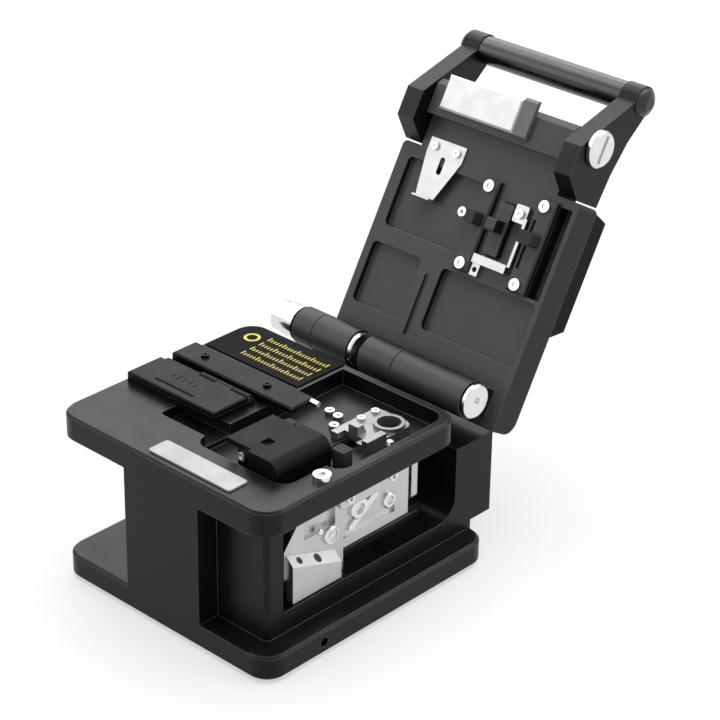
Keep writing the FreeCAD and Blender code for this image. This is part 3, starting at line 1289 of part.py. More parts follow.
def latch_block():
    """Bright block in the lid's front bar that meets the deck's edge when the lid is shut."""
    block = lid_box(LATCH_X, LATCH_X + LATCH_W, LID_FRONT_S, NOSE_S, LATCH_LOW, LATCH_TOP)
    return opened(block.makeChamfer(LATCH_EDGE, edges_at(block, 2, lid_z(LATCH_LOW))))


def latch_nose():
    """Dark catch beside the bright block."""
    x0 = LATCH_X + LATCH_W + NOSE_GAP
    outline = [(LID_FRONT_S - PAST, TONGUE_LOW), (LID_FRONT_S, LATCH_LOW), (NOSE_S, LATCH_LOW),
               (NOSE_S + NOSE_EDGE, LATCH_LOW + NOSE_EDGE), (NOSE_S + NOSE_EDGE, TONGUE_LOW)]
    return opened(lid_profile(outline, x0, x0 + NOSE_W))


# ---- handle ----
def arm(x0):
    """Flat arm of the handle from its pivot to the grip, with a foot behind the pivot."""
    outline = [(ARM_BACK_S, PIVOT_H), (ARM_BACK_S + ARM_TOE, ARM_FOOT_H), (PIVOT_S - ARM_HEEL, ARM_FOOT_H),
               (GRIP_S + ARM_TIP_S, GRIP_H + ARM_RISE), (GRIP_S + ARM_TIP_S / 2, GRIP_H + ARM_TIP_H),
               (PIVOT_S + ARM_HOLLOW, GRIP_H - ARM_RISE), (ARM_KNEE_S, ARM_TOP_H),
               (ARM_BACK_S, ARM_TOP_H - EDGE)]
    end = cyl_x(GRIP_R + ARM_RIM, x0, x0 + ARM_T, lid_y(GRIP_S), lid_z(GRIP_H))
    return fuse(lid_profile(outline, x0, x0 + ARM_T), end)


def handle_frame():
    """Both arms and the bar between them."""
    core = cyl_x(GRIP_R - GRIP_WALL, ARM_LEFT_X + PAST, ARM_RIGHT_X + PAST, lid_y(GRIP_S), lid_z(GRIP_H))
    shape = fuse(arm(ARM_LEFT_X), arm(ARM_RIGHT_X), core)
    bore = cyl_x(PIVOT_R + RUN, ARM_LEFT_X - PAST, ARM_RIGHT_END + PAST, lid_y(PIVOT_S), lid_z(PIVOT_H))
    return opened(shape.cut(bore))


def handle_grip():
    """Tube over the handle's bar."""
    x0 = ARM_LEFT_X + ARM_T
    y = lid_y(GRIP_S)
    z = lid_z(GRIP_H)
    tube = cyl_x(GRIP_R, x0 + SEAM, ARM_RIGHT_X - SEAM, y, z)
    return opened(tube.cut(cyl_x(GRIP_R - GRIP_WALL + FIT, x0, ARM_RIGHT_X, y, z)))


def grip_caps():
    """Coned caps on the handle's two ends."""
    y = lid_y(GRIP_S)
    z = lid_z(GRIP_H)
    shoulder = (GRIP_CAP_L / 2, GRIP_R - GRIP_CAP_L / 4)
    points = [(0, 0), (0, GRIP_R), shoulder, (GRIP_CAP_L, GRIP_CAP_R), (GRIP_CAP_L, 0)]
    return group([opened(turned(points, (ARM_LEFT_X, y, z), (-1, 0, 0))),
                  opened(turned(points, (ARM_RIGHT_END, y, z), (1, 0, 0)))])


def pivot_right():
    """Shoulder screw from outside the right arm into the lid's neck."""
    y = lid_y(PIVOT_S)
    z = lid_z(PIVOT_H)
    outer = ARM_RIGHT_END + GAP
    face = outer + PIVOT_HEAD_T
    shank = cyl_x(PIVOT_R - FIT, LID_NECK_RIGHT - PIVOT_IN, outer, y, z)
    head = cyl_x(PIVOT_HEAD_R, outer, face, y, z)
    head = head.makeChamfer(PIVOT_HEAD_EDGE, edges_at(head, 0, face))
    half = PIVOT_SLOT_HALF
    slot = box(face - PIVOT_SLOT_DEPTH, face, y - PIVOT_HEAD_R, y + PIVOT_HEAD_R, z - half, z + half)
    rim = cyl_x(PIVOT_HEAD_R - PIVOT_RIM, face - PIVOT_SLOT_DEPTH, face, y, z)
    return opened(fuse(shank, head).cut(slot.common(rim)))


def pivot_left():
    """Plain pin through the left arm, flush with its outer face."""
    return opened(cyl_x(PIVOT_R - FIT, ARM_LEFT_X, LATCH_X - GAP, lid_y(PIVOT_S), lid_z(PIVOT_H)))


BUILDERS = {
    "body_casting": body_casting,
    "base_pad": base_pad,
    "slot_plate": slot_plate,
    "label_plate": label_plate,
    "scale_plate": scale_plate,
    "stop_screw": stop_screw,
    "holder_base": holder_base,
    "holder_flap": holder_flap,
    "holder_flap_pin": flap_pin,
    "rear_rest": rear_rest,
    "rear_rest_screws": rear_rest_screws,
    "rear_rest_pin": rest_pin,
    "blade_guard": blade_guard,
    "blade_guard_screw": guard_screw,
    "blade_guard_post": guard_post,
    "lower_clamp": lower_clamp,
    "lower_clamp_screws": lower_clamp_screws,
    "lower_pads": lower_pads,
    "scrap_post": scrap_post,
    "deck_screws": deck_screws,
    "guide_rail": guide_rail,
    "guide_rail_screws": rail_screws,
    "carriage_block": carriage_block,
    "carriage_front_plate": carriage_front_plate,
    "carriage_front_screws": carriage_front_screws,
    "carriage_rear_plate": carriage_rear_plate,
    "carriage_side_cover": side_cover,
    "carriage_side_screws": side_cover_screws,
    "blade_arm": blade_arm,
    "blade_axle": blade_axle,
    "blade_wheel": blade_wheel,
    "hinge_bracket_left": hinge_bracket_left,
    "hinge_bracket_right": hinge_bracket_right,
    "hinge_pin_left": hinge_pin_left,
    "hinge_pin_right": hinge_pin_right,
    "hinge_knob": hinge_knob,
    "lid_shell": lid_shell,
    "lid_cover": lid_cover,
    "lid_cover_screws": cover_screws,
    "spring_plate": spring_plate,
    "spring_plate_screws": spring_plate_screws,
    "clamp_bar_left": clamp_bar_left,
    "clamp_bar_right": clamp_bar_right,
    "clamp_bar_screws": clamp_bar_screws,
    "upper_pads": upper_pads,
    "clamp_bracket": clamp_bracket,
    "anvil": anvil,
    "anvil_spring": anvil_spring,
    "anvil_keeper": anvil_keeper,
    "anvil_keeper_screw": anvil_keeper_screw,
    "lid_guide_strip": guide_strip,
    "lid_release_pin": release_pin,
    "latch_block": latch_block,
    "latch_nose": latch_nose,
    "handle_frame": handle_frame,
    "handle_grip": handle_grip,
    "handle_grip_caps": grip_caps,
    "handle_pivot_right": pivot_right,
    "handle_pivot_left": pivot_left,
}

for name, builder in BUILDERS.items():
    save(name, builder())
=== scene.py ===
"""Looks of the fibre cleaver: finishes, marks, carriage fittings, studio and camera. Metres, part's frame."""
import json
import math

import bmesh
import bpy
from mathutils import Matrix, Vector


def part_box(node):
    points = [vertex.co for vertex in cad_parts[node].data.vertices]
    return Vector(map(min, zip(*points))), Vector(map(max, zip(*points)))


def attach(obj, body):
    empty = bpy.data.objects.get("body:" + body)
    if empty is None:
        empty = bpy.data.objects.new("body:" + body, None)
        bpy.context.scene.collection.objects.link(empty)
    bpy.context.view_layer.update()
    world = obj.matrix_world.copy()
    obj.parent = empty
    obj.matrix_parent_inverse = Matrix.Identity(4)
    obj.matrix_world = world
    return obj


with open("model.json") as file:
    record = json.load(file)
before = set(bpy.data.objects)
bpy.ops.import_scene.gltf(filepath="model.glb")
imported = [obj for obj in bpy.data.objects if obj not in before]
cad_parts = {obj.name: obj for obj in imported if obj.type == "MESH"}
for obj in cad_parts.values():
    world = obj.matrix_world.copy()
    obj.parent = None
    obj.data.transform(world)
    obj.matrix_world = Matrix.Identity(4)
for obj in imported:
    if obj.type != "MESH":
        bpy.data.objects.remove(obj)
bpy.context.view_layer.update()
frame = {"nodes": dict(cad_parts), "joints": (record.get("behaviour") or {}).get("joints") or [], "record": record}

NODES = frame["nodes"]
RECORD = frame["record"]
MM = 0.001

# ---- camera ----
CAMERA_AZIMUTH = 42.83       # degrees round from the front towards the right
CAMERA_ELEVATION = 27.87
CAMERA_ROLL = 0.89
CAMERA_LENS = 123.1          # millimetres
CAMERA_SENSOR = 36.0         # millimetres
CAMERA_REACH = 20.0          # how far it sees
CAMERA_PLACE = Vector((386.2, -385.9, 350.0)) * MM

# ---- studio ----
WHITE = (1, 1, 1)
FLOOR_SIZE = 6.0
FLOOR_ROUGHNESS = 0.9
FLOOR_COLOUR = (0.45, 0.45, 0.45)
FLOOR_SHOWN = (0.52, 0.52, 0.52)     # its colour for camera and mirror rays only
FLOOR_GLOW = 0.56            # added to it for those rays
SKY_FOR_LIGHT = 0.36
SKY_SHOWN = 1.0
KEY_STRENGTH = 2.2
KEY_SOFTNESS = 70.0          # degrees across, seen from the object
KEY_TILT = (-12.0, -5.0, 0.0)        # degrees
PANEL_AIM = Vector((0, 0, 60)) * MM  # the point that every panel faces
# each panel: azimuth from the front towards the right, elevation, distance, width, height, radiance
PANELS = {
    "panel_behind": (-137.0, 33.0, 1.2, 1.00, 0.60, 2.7),
    "panel_behind_right": (144.0, 38.0, 1.2, 0.70, 0.40, 4.6),
    "panel_front_left": (-43.0, 28.0, 1.2, 0.75, 0.70, 2.0),
    "panel_left": (-90.0, 55.0, 1.2, 0.70, 0.40, 2.6),
}

# ---- finishes: edges, grain and lines ----
EDGE_SAMPLES = 6
EDGE_GAIN = 12.0             # how soon a turn of the surface counts as an edge
COATED_EDGE = 0.3 * MM
METAL_EDGE = 0.15 * MM
GRAIN_SIZE = 0.25 * MM
GRAIN_BUMP = 0.05 * MM
GRAIN_PATCHES = 160.0        # how fine its light and dark patches are, per metre
GRAIN_CONTRAST = (-0.4, 1.4)
INK_GRAIN = 0.12 * MM
RUBBER_GRAIN = 0.5 * MM
RUBBER_BUMP = 0.08 * MM
LINE_BUMP = 0.03 * MM
LINE_STRETCH = (2.0, 40.0, 40.0)     # lines run along the first axis
LINE_SCALE = 90.0
LINE_PATCHES = 220.0
LINE_CONTRAST = (0.0, 3.0)
COATED_PATCHES = (0.8, 1.25)         # shares of a coating's colour in its dark and light patches
# shares of the painted lit side's lighter colour in the same patches
LIT_SIDE_PATCHES = (0.85, 1.15)
COATED_ROUGHNESS = (-0.05, 0.07)     # added to a coating's roughness in the same patches
METAL_PATCHES = (0.86, 1.0)
METAL_ROUGHNESS = (0.75, 1.3)        # shares of a metal's roughness
INK_PATCHES = (0.75, 1.0)
INK_ROUGHNESS = 0.45
RUBBER_TONES = (0.012, 0.028)
RUBBER_ROUGHNESS = 0.8
RUBBER_RELIEF = 0.3
LIT_SIDE_FACING = (0.35, 0.85)        # cosine to one direction at which the painted lit side's lighter colour starts, and is full

# ---- printed marks on the deck's film ----
YELLOW = (0.83, 0.66, 0.04)
INK_THICKNESS = 0.03 * MM
TICK_ROWS = 4
TICKS_IN_ROW = 21
ROW_FROM_REAR = 4.8 * MM     # the first row, from the film's rear edge
ROW_PITCH = 3.3 * MM
TICK_FROM_LEFT = 10.4 * MM   # the first tick, from the film's left edge
TICK_PITCH = 1.05 * MM
TICK_WIDTH = 0.42 * MM
TICK_LENGTH = 1.2 * MM
LONG_TICK = 1.9 * MM
LONG_EVERY = 5
RING_FROM_CORNER = 6.2 * MM  # its middle, from the film's left and rear edges
RING_INNER = 1.5 * MM
RING_OUTER = 2.3 * MM

# ---- fittings on the carriage's right side ----
# each, in millimetres: its place along Y and Z, and its turned outline's radii and heights from rim to middle
FITTINGS = {
    "carriage_pivot_ring": ((-9.4, 26.2), ((2.6, 0.0), (2.6, 0.7), (2.3, 1.0), (1.9, 1.0),
                                           (1.7, 0.4), (0.9, 0.4), (0.7, 0.9), (0.0, 0.9))),
    "carriage_eccentric": ((0.4, 29.8), ((3.0, 0.0), (3.0, 0.8), (2.7, 1.1), (1.5, 1.1),
                                         (1.3, 0.3), (0.0, 0.3))),
    "carriage_stud": ((11.8, 27.2), ((2.2, 0.0), (2.2, 0.6), (1.9, 0.9), (1.2, 0.9),
                                     (1.0, 0.2), (0.0, 0.2))),
    "carriage_pin": ((-13.2, 28.6), ((0.9, 0.0), (0.9, 0.5), (0.6, 0.8), (0.0, 0.8))),
}
LINK_FRONT = (-2.2 * MM, 25.2 * MM)  # places along Y and Z of the link's two round ends
LINK_REAR = (6.4 * MM, 31.2 * MM)
LINK_HALF = 1.1 * MM
LINK_T = 0.6 * MM
FOOT_OUT = 2.4 * MM          # how far the foot stands out from the block
FOOT_FROM_FRONT = 0.7 * MM   # behind the block's front
FOOT_LENGTH = 17.2 * MM
FOOT_EDGE_FRONT = 24.4 * MM  # height of its outer top edge at the front
FOOT_EDGE_REAR = 18.6 * MM
FOOT_RISE = 2.6 * MM         # from that edge up to the block
FOOT_SCREWS = ((3.6 * MM, 0.95 * MM), (10.4 * MM, 1.2 * MM))     # places along the slope, and radii
# each rim of a foot's screw: share of its radius, and height over the slope
FOOT_SCREW_RIMS = ((1.0, -0.02 * MM), (1.0, 0.06 * MM), (0.55, 0.06 * MM), (0.45, 0.01 * MM))

FLOAT = "NodeSocketFloat"
VECTOR = "NodeSocketVector"


# ---- node helpers ----
def add(tree, kind, inputs=None, **settings):
    """A node with its settings, and its inputs by name: a socket is linked and a plain value is set."""
    made = tree.nodes.new(kind)
    for name, value in settings.items():
        setattr(made, name, value)
    for name, value in (inputs or {}).items():
        if isinstance(value, bpy.types.NodeSocket):
            tree.links.new(value, made.inputs[name])
        else:
            made.inputs[name].default_value = value
    return made


def new_group(name, inputs, outputs):
    """An empty shader group with named sockets, and its two end nodes."""
    tree = bpy.data.node_groups.new(name, "ShaderNodeTree")
    for socket, kind, value in inputs:
        tree.interface.new_socket(socket, in_out="INPUT", socket_type=kind).default_value = value
    for socket, kind in outputs:
        tree.interface.new_socket(socket, in_out="OUTPUT", socket_type=kind)
    return tree, tree.nodes.new("NodeGroupInput"), tree.nodes.new("NodeGroupOutput")


def place(tree, group, inputs):
    """A shared group as a node of a material, with its own values."""
    return add(tree, "ShaderNodeGroup", inputs, node_tree=group)


def math_node(tree, operation, first, second, clamp=False):
    made = add(tree, "ShaderNodeMath", {0: first, 1: second}, operation=operation, use_clamp=clamp)
    return made.outputs[0]


def dot_product(tree, first, second):
    made = add(tree, "ShaderNodeVectorMath", {0: first, 1: second}, operation="DOT_PRODUCT")
    return made.outputs["Value"]


def noise(tree, vector, scale, detail, roughness=0.5):
    inputs = {"Vector": vector, "Scale": scale, "Detail": detail, "Roughness": roughness}
    return add(tree, "ShaderNodeTexNoise", inputs).outputs["Fac"]


def mix(tree, factor, first, second):
    """One colour where the factor is 0 and the other where it is 1."""
    made = add(tree, "ShaderNodeMix", data_type="RGBA")
    tree.links.new(factor, made.inputs["Factor"])
    for socket, value in (("A", first), ("B", second)):
        target = [s for s in made.inputs if s.name == socket and s.type == "RGBA"][0]
        if isinstance(value, bpy.types.NodeSocket):
            tree.links.new(value, target)
        else:
            target.default_value = value
    return [s for s in made.outputs if s.type == "RGBA"][0]


def ranged(tree, value, low, high):
    """The value's run from 0 to 1, moved to run from low to high."""
    made = add(tree, "ShaderNodeMapRange", {"Value": value, "To Min": low, "To Max": high})
    return made.outputs["Result"]


def rgba(colour, share=1.0):
    """That colour, or a darker or lighter share of it, as a socket takes it."""
    return [part * share for part in colour] + [1]


# ---- shared effects ----
def edges_effect():
    """Where an edge is sharp, as the mask for its painted highlight, and the normal that rounds it."""
    tree, inputs, outputs = new_group("Rounded Edges, Painted Highlight Mask", [("Radius", FLOAT, COATED_EDGE)],
                                      [("Mask", FLOAT), ("Normal", VECTOR)])
    bevel = add(tree, "ShaderNodeBevel", {"Radius": inputs.outputs["Radius"]}, samples=EDGE_SAMPLES)
    surface = add(tree, "ShaderNodeNewGeometry")
    facing = dot_product(tree, bevel.outputs["Normal"], surface.outputs["Normal"])
    away = math_node(tree, "SUBTRACT", 1.0, facing)
    mask = math_node(tree, "MULTIPLY", away, EDGE_GAIN, clamp=True)
    tree.links.new(mask, outputs.inputs["Mask"])
    tree.links.new(bevel.outputs["Normal"], outputs.inputs["Normal"])
    return tree


def grain_effect():
    """Fine pitting of a sandblasted or moulded surface, and its wide light and dark patches."""
    tree, inputs, outputs = new_group("Blasted Grain", [("Size", FLOAT, GRAIN_SIZE)],
                                      [("Height", FLOAT), ("Value", FLOAT)])
    point = add(tree, "ShaderNodeTexCoord").outputs["Object"]
    pits_per_metre = math_node(tree, "DIVIDE", 1.0, inputs.outputs["Size"])
    pits = noise(tree, point, pits_per_metre, detail=3.0, roughness=0.6)
    tree.links.new(pits, outputs.inputs["Height"])
    patches = noise(tree, point, GRAIN_PATCHES, detail=4.0)
    tree.links.new(ranged(tree, patches, *GRAIN_CONTRAST), outputs.inputs["Value"])
    return tree


def brushing_effect():
    """Long fine lines of a ground or brushed surface, along the axis with the smallest stretch."""
    tree, inputs, outputs = new_group("Brushed Lines", [("Stretch", VECTOR, LINE_STRETCH)],
                                      [("Height", FLOAT), ("Value", FLOAT)])
    point = add(tree, "ShaderNodeTexCoord").outputs["Object"]
    drawn = add(tree, "ShaderNodeVectorMath", {0: point, 1: inputs.outputs["Stretch"]}, operation="MULTIPLY")
    lines = noise(tree, drawn.outputs["Vector"], LINE_SCALE, detail=5.0, roughness=0.65)
    tree.links.new(lines, outputs.inputs["Height"])
    patches = noise(tree, point, LINE_PATCHES, detail=2.0)
    both = math_node(tree, "MULTIPLY", lines, patches)
    tree.links.new(ranged(tree, both, *LINE_CONTRAST), outputs.inputs["Value"])
    return tree


EDGES = edges_effect()
GRAIN = grain_effect()
BRUSHING = brushing_effect()


# ---- kinds of finish ----
def blank(name):
    """A material with an empty tree but for its shader."""
    material = bpy.data.materials.new(name)
    material.use_nodes = True
    tree = material.node_tree
    tree.nodes.clear()
    shader = add(tree, "ShaderNodeBsdfPrincipled")
    out = add(tree, "ShaderNodeOutputMaterial")
    tree.links.new(shader.outputs["BSDF"], out.inputs["Surface"])
    return material, tree, shader


def bumped(tree, shader, height, strength, distance, normal=None):
    """Relief on the shader's surface, over the rounded edges' normal if that is given."""
    inputs = {"Height": height, "Strength": strength, "Distance": distance}
    if normal is not None:
        inputs["Normal"] = normal
    tree.links.new(add(tree, "ShaderNodeBump", inputs).outputs["Normal"], shader.inputs["Normal"])


def patched(tree, patches, colour, shares):
    """A colour that wanders between two shares of itself."""
    return mix(tree, patches, *[rgba(colour, share) for share in shares])


def coated(name, colour, edge_highlight_colour, roughness, specular, depth=0.12, edge=COATED_EDGE,
           face=None, lit_side_colour=None):
    """A coating with a fine grain, painted highlights on its sharp edges, and a painted lit side, lighter, on the
    side that looks along face.
    """
    material, tree, shader = blank(name)
    edges = place(tree, EDGES, {"Radius": edge})
    grain = place(tree, GRAIN, {"Size": GRAIN_SIZE})
    patches = grain.outputs["Value"]
    shade = patched(tree, patches, colour, COATED_PATCHES)
    if face:
        # painted lit side: a lighter colour on the side that looks along face, standing in for the light that
        # falls there
        painted_lit_side = patched(tree, patches, lit_side_colour, LIT_SIDE_PATCHES)
        looks = dot_product(tree, add(tree, "ShaderNodeTexCoord").outputs["Normal"], face)
        side = add(tree, "ShaderNodeMapRange", {"Value": looks, "From Min": LIT_SIDE_FACING[0], "From Max": LIT_SIDE_FACING[1]})
        shade = mix(tree, side.outputs["Result"], shade, painted_lit_side)
    # painted highlight: sharp edges take the lighter edge colour, standing in for light caught on them
    tree.links.new(mix(tree, edges.outputs["Mask"], shade, rgba(edge_highlight_colour)), shader.inputs["Base Color"])
    uneven = ranged(tree, patches, *[roughness + more for more in COATED_ROUGHNESS])
    tree.links.new(uneven, shader.inputs["Roughness"])
    bumped(tree, shader, grain.outputs["Height"], depth, GRAIN_BUMP, edges.outputs["Normal"])
    shader.inputs["Specular IOR Level"].default_value = specular
    return material


def bare_metal(name, colour, roughness, depth=0.15):
    """Ground or polished metal with fine lines along one axis."""
    material, tree, shader = blank(name)
    edges = place(tree, EDGES, {"Radius": METAL_EDGE})
    lines = place(tree, BRUSHING, {"Stretch": LINE_STRETCH})
    patches = lines.outputs["Value"]
    tree.links.new(patched(tree, patches, colour, METAL_PATCHES), shader.inputs["Base Color"])
    uneven = ranged(tree, patches, *[roughness * share for share in METAL_ROUGHNESS])
    tree.links.new(uneven, shader.inputs["Roughness"])
    bumped(tree, shader, lines.outputs["Height"], depth, LINE_BUMP, edges.outputs["Normal"])
    shader.inputs["Metallic"].default_value = 1.0
    return material


def yellow_ink():
    """Printed ink with slightly uneven cover."""
    material, tree, shader = blank("Yellow Print")
    grain = place(tree, GRAIN, {"Size": INK_GRAIN})
    cover = patched(tree, grain.outputs["Value"], YELLOW, INK_PATCHES)
    tree.links.new(cover, shader.inputs["Base Color"])
    shader.inputs["Roughness"].default_value = INK_ROUGHNESS
    return material


def black_rubber():
    material, tree, shader = blank("Black Rubber")
    grain = place(tree, GRAIN, {"Size": RUBBER_GRAIN})
    shade = patched(tree, grain.outputs["Value"], WHITE, RUBBER_TONES)
    tree.links.new(shade, shader.inputs["Base Color"])
    bumped(tree, shader, grain.outputs["Height"], RUBBER_RELIEF, RUBBER_BUMP)
    shader.inputs["Roughness"].default_value = RUBBER_ROUGHNESS
    return material


# ---- finish of each material slot, and of the nodes that wear one of their own ----
# the second colour of each coating is its painted highlight on sharp edges
FINISHES = {
    "black_paint": coated("Black Coated Casting", (0.007, 0.007, 0.0074), (0.15, 0.15, 0.153),
                          roughness=0.34, specular=0.17),
    "dark_anodised": coated("Black Anodised", (0.006, 0.006, 0.0065), (0.07, 0.07, 0.072),
                            roughness=0.36, specular=0.08, edge=METAL_EDGE),
    "black_plastic": coated("Moulded Black Plastic", (0.005, 0.005, 0.0053), (0.03, 0.03, 0.031),
                            roughness=0.42, specular=0.07),
    "black_film": coated("Black Film", (0.004, 0.004, 0.004), (0.02, 0.02, 0.02),
                         roughness=0.5, specular=0.03),
    "machined_steel": bare_metal("Ground Steel", (0.56, 0.56, 0.57), roughness=0.34),
    "polished_steel": bare_metal("Polished Steel", (0.74, 0.74, 0.75), roughness=0.18, depth=0.05),
    "chrome": bare_metal("Chromium Plate", (0.70, 0.70, 0.71), roughness=0.12, depth=0.03),
    "aluminium": coated("Satin Silver Plate", (0.56, 0.56, 0.565), (0.66, 0.66, 0.665),
                        roughness=0.45, specular=0.3),
    "nickel_block": bare_metal("Satin Nickel", (0.52, 0.52, 0.525), roughness=0.42, depth=0.05),
    "carbide": bare_metal("Lapped Carbide", (0.55, 0.56, 0.58), roughness=0.14, depth=0.03),
    "rubber": black_rubber(),
}
LID_HINGE = [joint for joint in frame["joints"] if joint["name"] == "lid_hinge"][0]
LID_OPEN = math.radians(LID_HINGE["range_deg"][1])
LID_INSIDE = (0.0, -math.sin(LID_OPEN), -math.cos(LID_OPEN))     # where the open lid's inner face looks
# Painted lit side: this casting is lighter on every side that looks where the open lid's inner face looks,
# standing in for the light that falls there. It is also on the barrels and on the other parts that wear this
# finish.
LID_CASTING_PAINTED_LIT_INSIDE = coated("Lid Casting, Painted Lit Inside", (0.010, 0.010, 0.0104), (0.17, 0.17, 0.173),
                         roughness=0.40, specular=0.20, depth=0.2,
                         face=LID_INSIDE, lit_side_colour=(0.074, 0.074, 0.076))
GREY_ANODISED = coated("Grey Anodised", (0.16, 0.16, 0.163), (0.30, 0.30, 0.305),
                       roughness=0.38, specular=0.3)
GLOSSY_PLASTIC = coated("Glossy Black Plastic", (0.008, 0.008, 0.0083), (0.04, 0.04, 0.041),
                        roughness=0.26, specular=0.5)
DULL_STEEL = bare_metal("Dull Ground Steel", (0.27, 0.27, 0.275), roughness=0.38)
DARK_STEEL = bare_metal("Blackened Steel", (0.05, 0.05, 0.052), roughness=0.38)
SPRING_STEEL = bare_metal("Spring Steel", (0.42, 0.42, 0.425), roughness=0.34)
YELLOW_INK = yellow_ink()
OWN_FINISHES = {
    "lower_clamp": DULL_STEEL,
    "guide_rail": DARK_STEEL,
    "spring_plate": SPRING_STEEL,
    "clamp_bracket": SPRING_STEEL,
    "lid_guide_strip": SPRING_STEEL,
    "anvil_keeper": SPRING_STEEL,
    "lid_shell": LID_CASTING_PAINTED_LIT_INSIDE,
    "hinge_bracket_left": LID_CASTING_PAINTED_LIT_INSIDE,
    "hinge_bracket_right": LID_CASTING_PAINTED_LIT_INSIDE,
    "clamp_bar_left": LID_CASTING_PAINTED_LIT_INSIDE,
    "clamp_bar_right": LID_CASTING_PAINTED_LIT_INSIDE,
    "anvil": LID_CASTING_PAINTED_LIT_INSIDE,
    "latch_nose": GREY_ANODISED,
    "handle_grip": GLOSSY_PLASTIC,
    "handle_grip_caps": GLOSSY_PLASTIC,
}


def dress_nodes():
    """Each node of the part takes its own finish, or else the finish of its slot."""
    for part in RECORD["subparts"]:
        materials = NODES[part["node"]].data.materials
        materials.clear()
        materials.append(OWN_FINISHES.get(part["node"], FINISHES[part["material_slot"]]))


# ---- mesh helpers ----
def mesh_piece(name, material, body, slot, build, *values):
    """A piece made by build(bm, *values), with its finish, that moves with a body."""
    bm = bmesh.new()
    build(bm, *values)
    mesh = bpy.data.meshes.new(name)
    bm.to_mesh(mesh)
    bm.free()
    mesh.materials.append(material)
    piece = bpy.data.objects.new(name, mesh)
    bpy.context.scene.collection.objects.link(piece)
    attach(piece, body)


def circle(radius, steps):
    """Corners of a circle round 0, as pairs, counterclockwise."""
    turns = [2 * math.pi * k / steps for k in range(steps)]
    return [(radius * math.cos(turn), radius * math.sin(turn)) for turn in turns]


def bridge(bm, lower, upper):
    """Faces between two rims with as many corners."""
    count = len(lower)
    for k in range(count):
        n = (k + 1) % count
        bm.faces.new((lower[k], lower[n], upper[n], upper[k]))


def closed_form(bm, loops, tip=None):
    """A closed form through loops of corners, with a face at the start and a face or a tip at the end."""
    rims = [[bm.verts.new(corner) for corner in loop] for loop in loops]
    for lower, upper in zip(rims, rims[1:]):
        bridge(bm, lower, upper)
    bm.faces.new(list(reversed(rims[0])))
    last = rims[-1]
    if tip is None:
        bm.faces.new(last)
        return
    end = bm.verts.new(tip)
    for k in range(len(last)):
        bm.faces.new((last[k], last[(k + 1) % len(last)], end))


# ---- printed marks ----
def bar(bm, x, y, z, length):
    """A flat printed tick, one ink film thick."""
    x1 = x + TICK_WIDTH
    y1 = y + length
    corners = ((x, y), (x1, y), (x1, y1), (x, y1))
    closed_form(bm, [[(*corner, height) for corner in corners] for height in (z, z + INK_THICKNESS)])


def ring(bm, x, y, z, steps=40):
    """A flat printed ring."""
    top = z + INK_THICKNESS
    rims = []
    for radius, height in ((RING_INNER, z), (RING_OUTER, z), (RING_OUTER, top), (RING_INNER, top)):
        corners = circle(radius, steps)
        rims.append([bm.verts.new((x + across, y + along, height)) for across, along in corners])
    for k in range(len(rims)):
        bridge(bm, rims[(k + 1) % len(rims)], rims[k])


def scale_marks(bm):
    """Rows of plain scale ticks on the film at the deck's rear left, and a ring before the first."""
    low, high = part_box("scale_plate")
    for row in range(TICK_ROWS):
        y = high.y - ROW_FROM_REAR - row * ROW_PITCH
        for k in range(TICKS_IN_ROW):
            length = TICK_LENGTH if k % LONG_EVERY else LONG_TICK
            bar(bm, low.x + TICK_FROM_LEFT + k * TICK_PITCH, y, high.z, length)
    ring(bm, low.x + RING_FROM_CORNER, high.y - RING_FROM_CORNER, high.z)


def print_marks():
    mesh_piece("scale_marks", YELLOW_INK, "base", "black_film", scale_marks)


# ---- fittings on the carriage's right side ----
BLOCK_LOW, BLOCK_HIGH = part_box("carriage_block")


def turned_boss(bm, place_yz, outline, steps=48):
    """A turned fitting that stands on the carriage's side."""
    y, z = [along * MM for along in place_yz]
    loops = []
    for radius, height in outline[:-1]:
        x = BLOCK_HIGH.x + height * MM
        loops.append([(x, y + back, z + up) for back, up in circle(radius * MM, steps)])
    closed_form(bm, loops, tip=(BLOCK_HIGH.x + outline[-1][1] * MM, y, z))


def link_bar(bm, steps=12):
    """Flat link with round ends between two of the fittings."""
    lean = math.atan2(LINK_REAR[1] - LINK_FRONT[1], LINK_REAR[0] - LINK_FRONT[0])
    outline = []
    for (y, z), start in ((LINK_REAR, lean - math.pi / 2), (LINK_FRONT, lean + math.pi / 2)):
        for k in range(steps + 1):
            angle = start + math.pi * k / steps
            outline.append((y + LINK_HALF * math.cos(angle), z + LINK_HALF * math.sin(angle)))
    closed_form(bm, [[(x, y, z) for y, z in outline] for x in (BLOCK_HIGH.x, BLOCK_HIGH.x + LINK_T)])


def carriage_foot(bm):
    """Foot block in front, lower towards the back, with a top that slopes up to the carriage's block."""
    inner = BLOCK_HIGH.x
    outer = inner + FOOT_OUT
    front = BLOCK_LOW.y + FOOT_FROM_FRONT
    ends = []
    for y, edge in ((front + FOOT_LENGTH, FOOT_EDGE_REAR), (front, FOOT_EDGE_FRONT)):
        corners = ((inner, BLOCK_LOW.z), (outer, BLOCK_LOW.z), (outer, edge), (inner, edge + FOOT_RISE))
        ends.append([(x, y, z) for x, z in corners])
    closed_form(bm, ends)


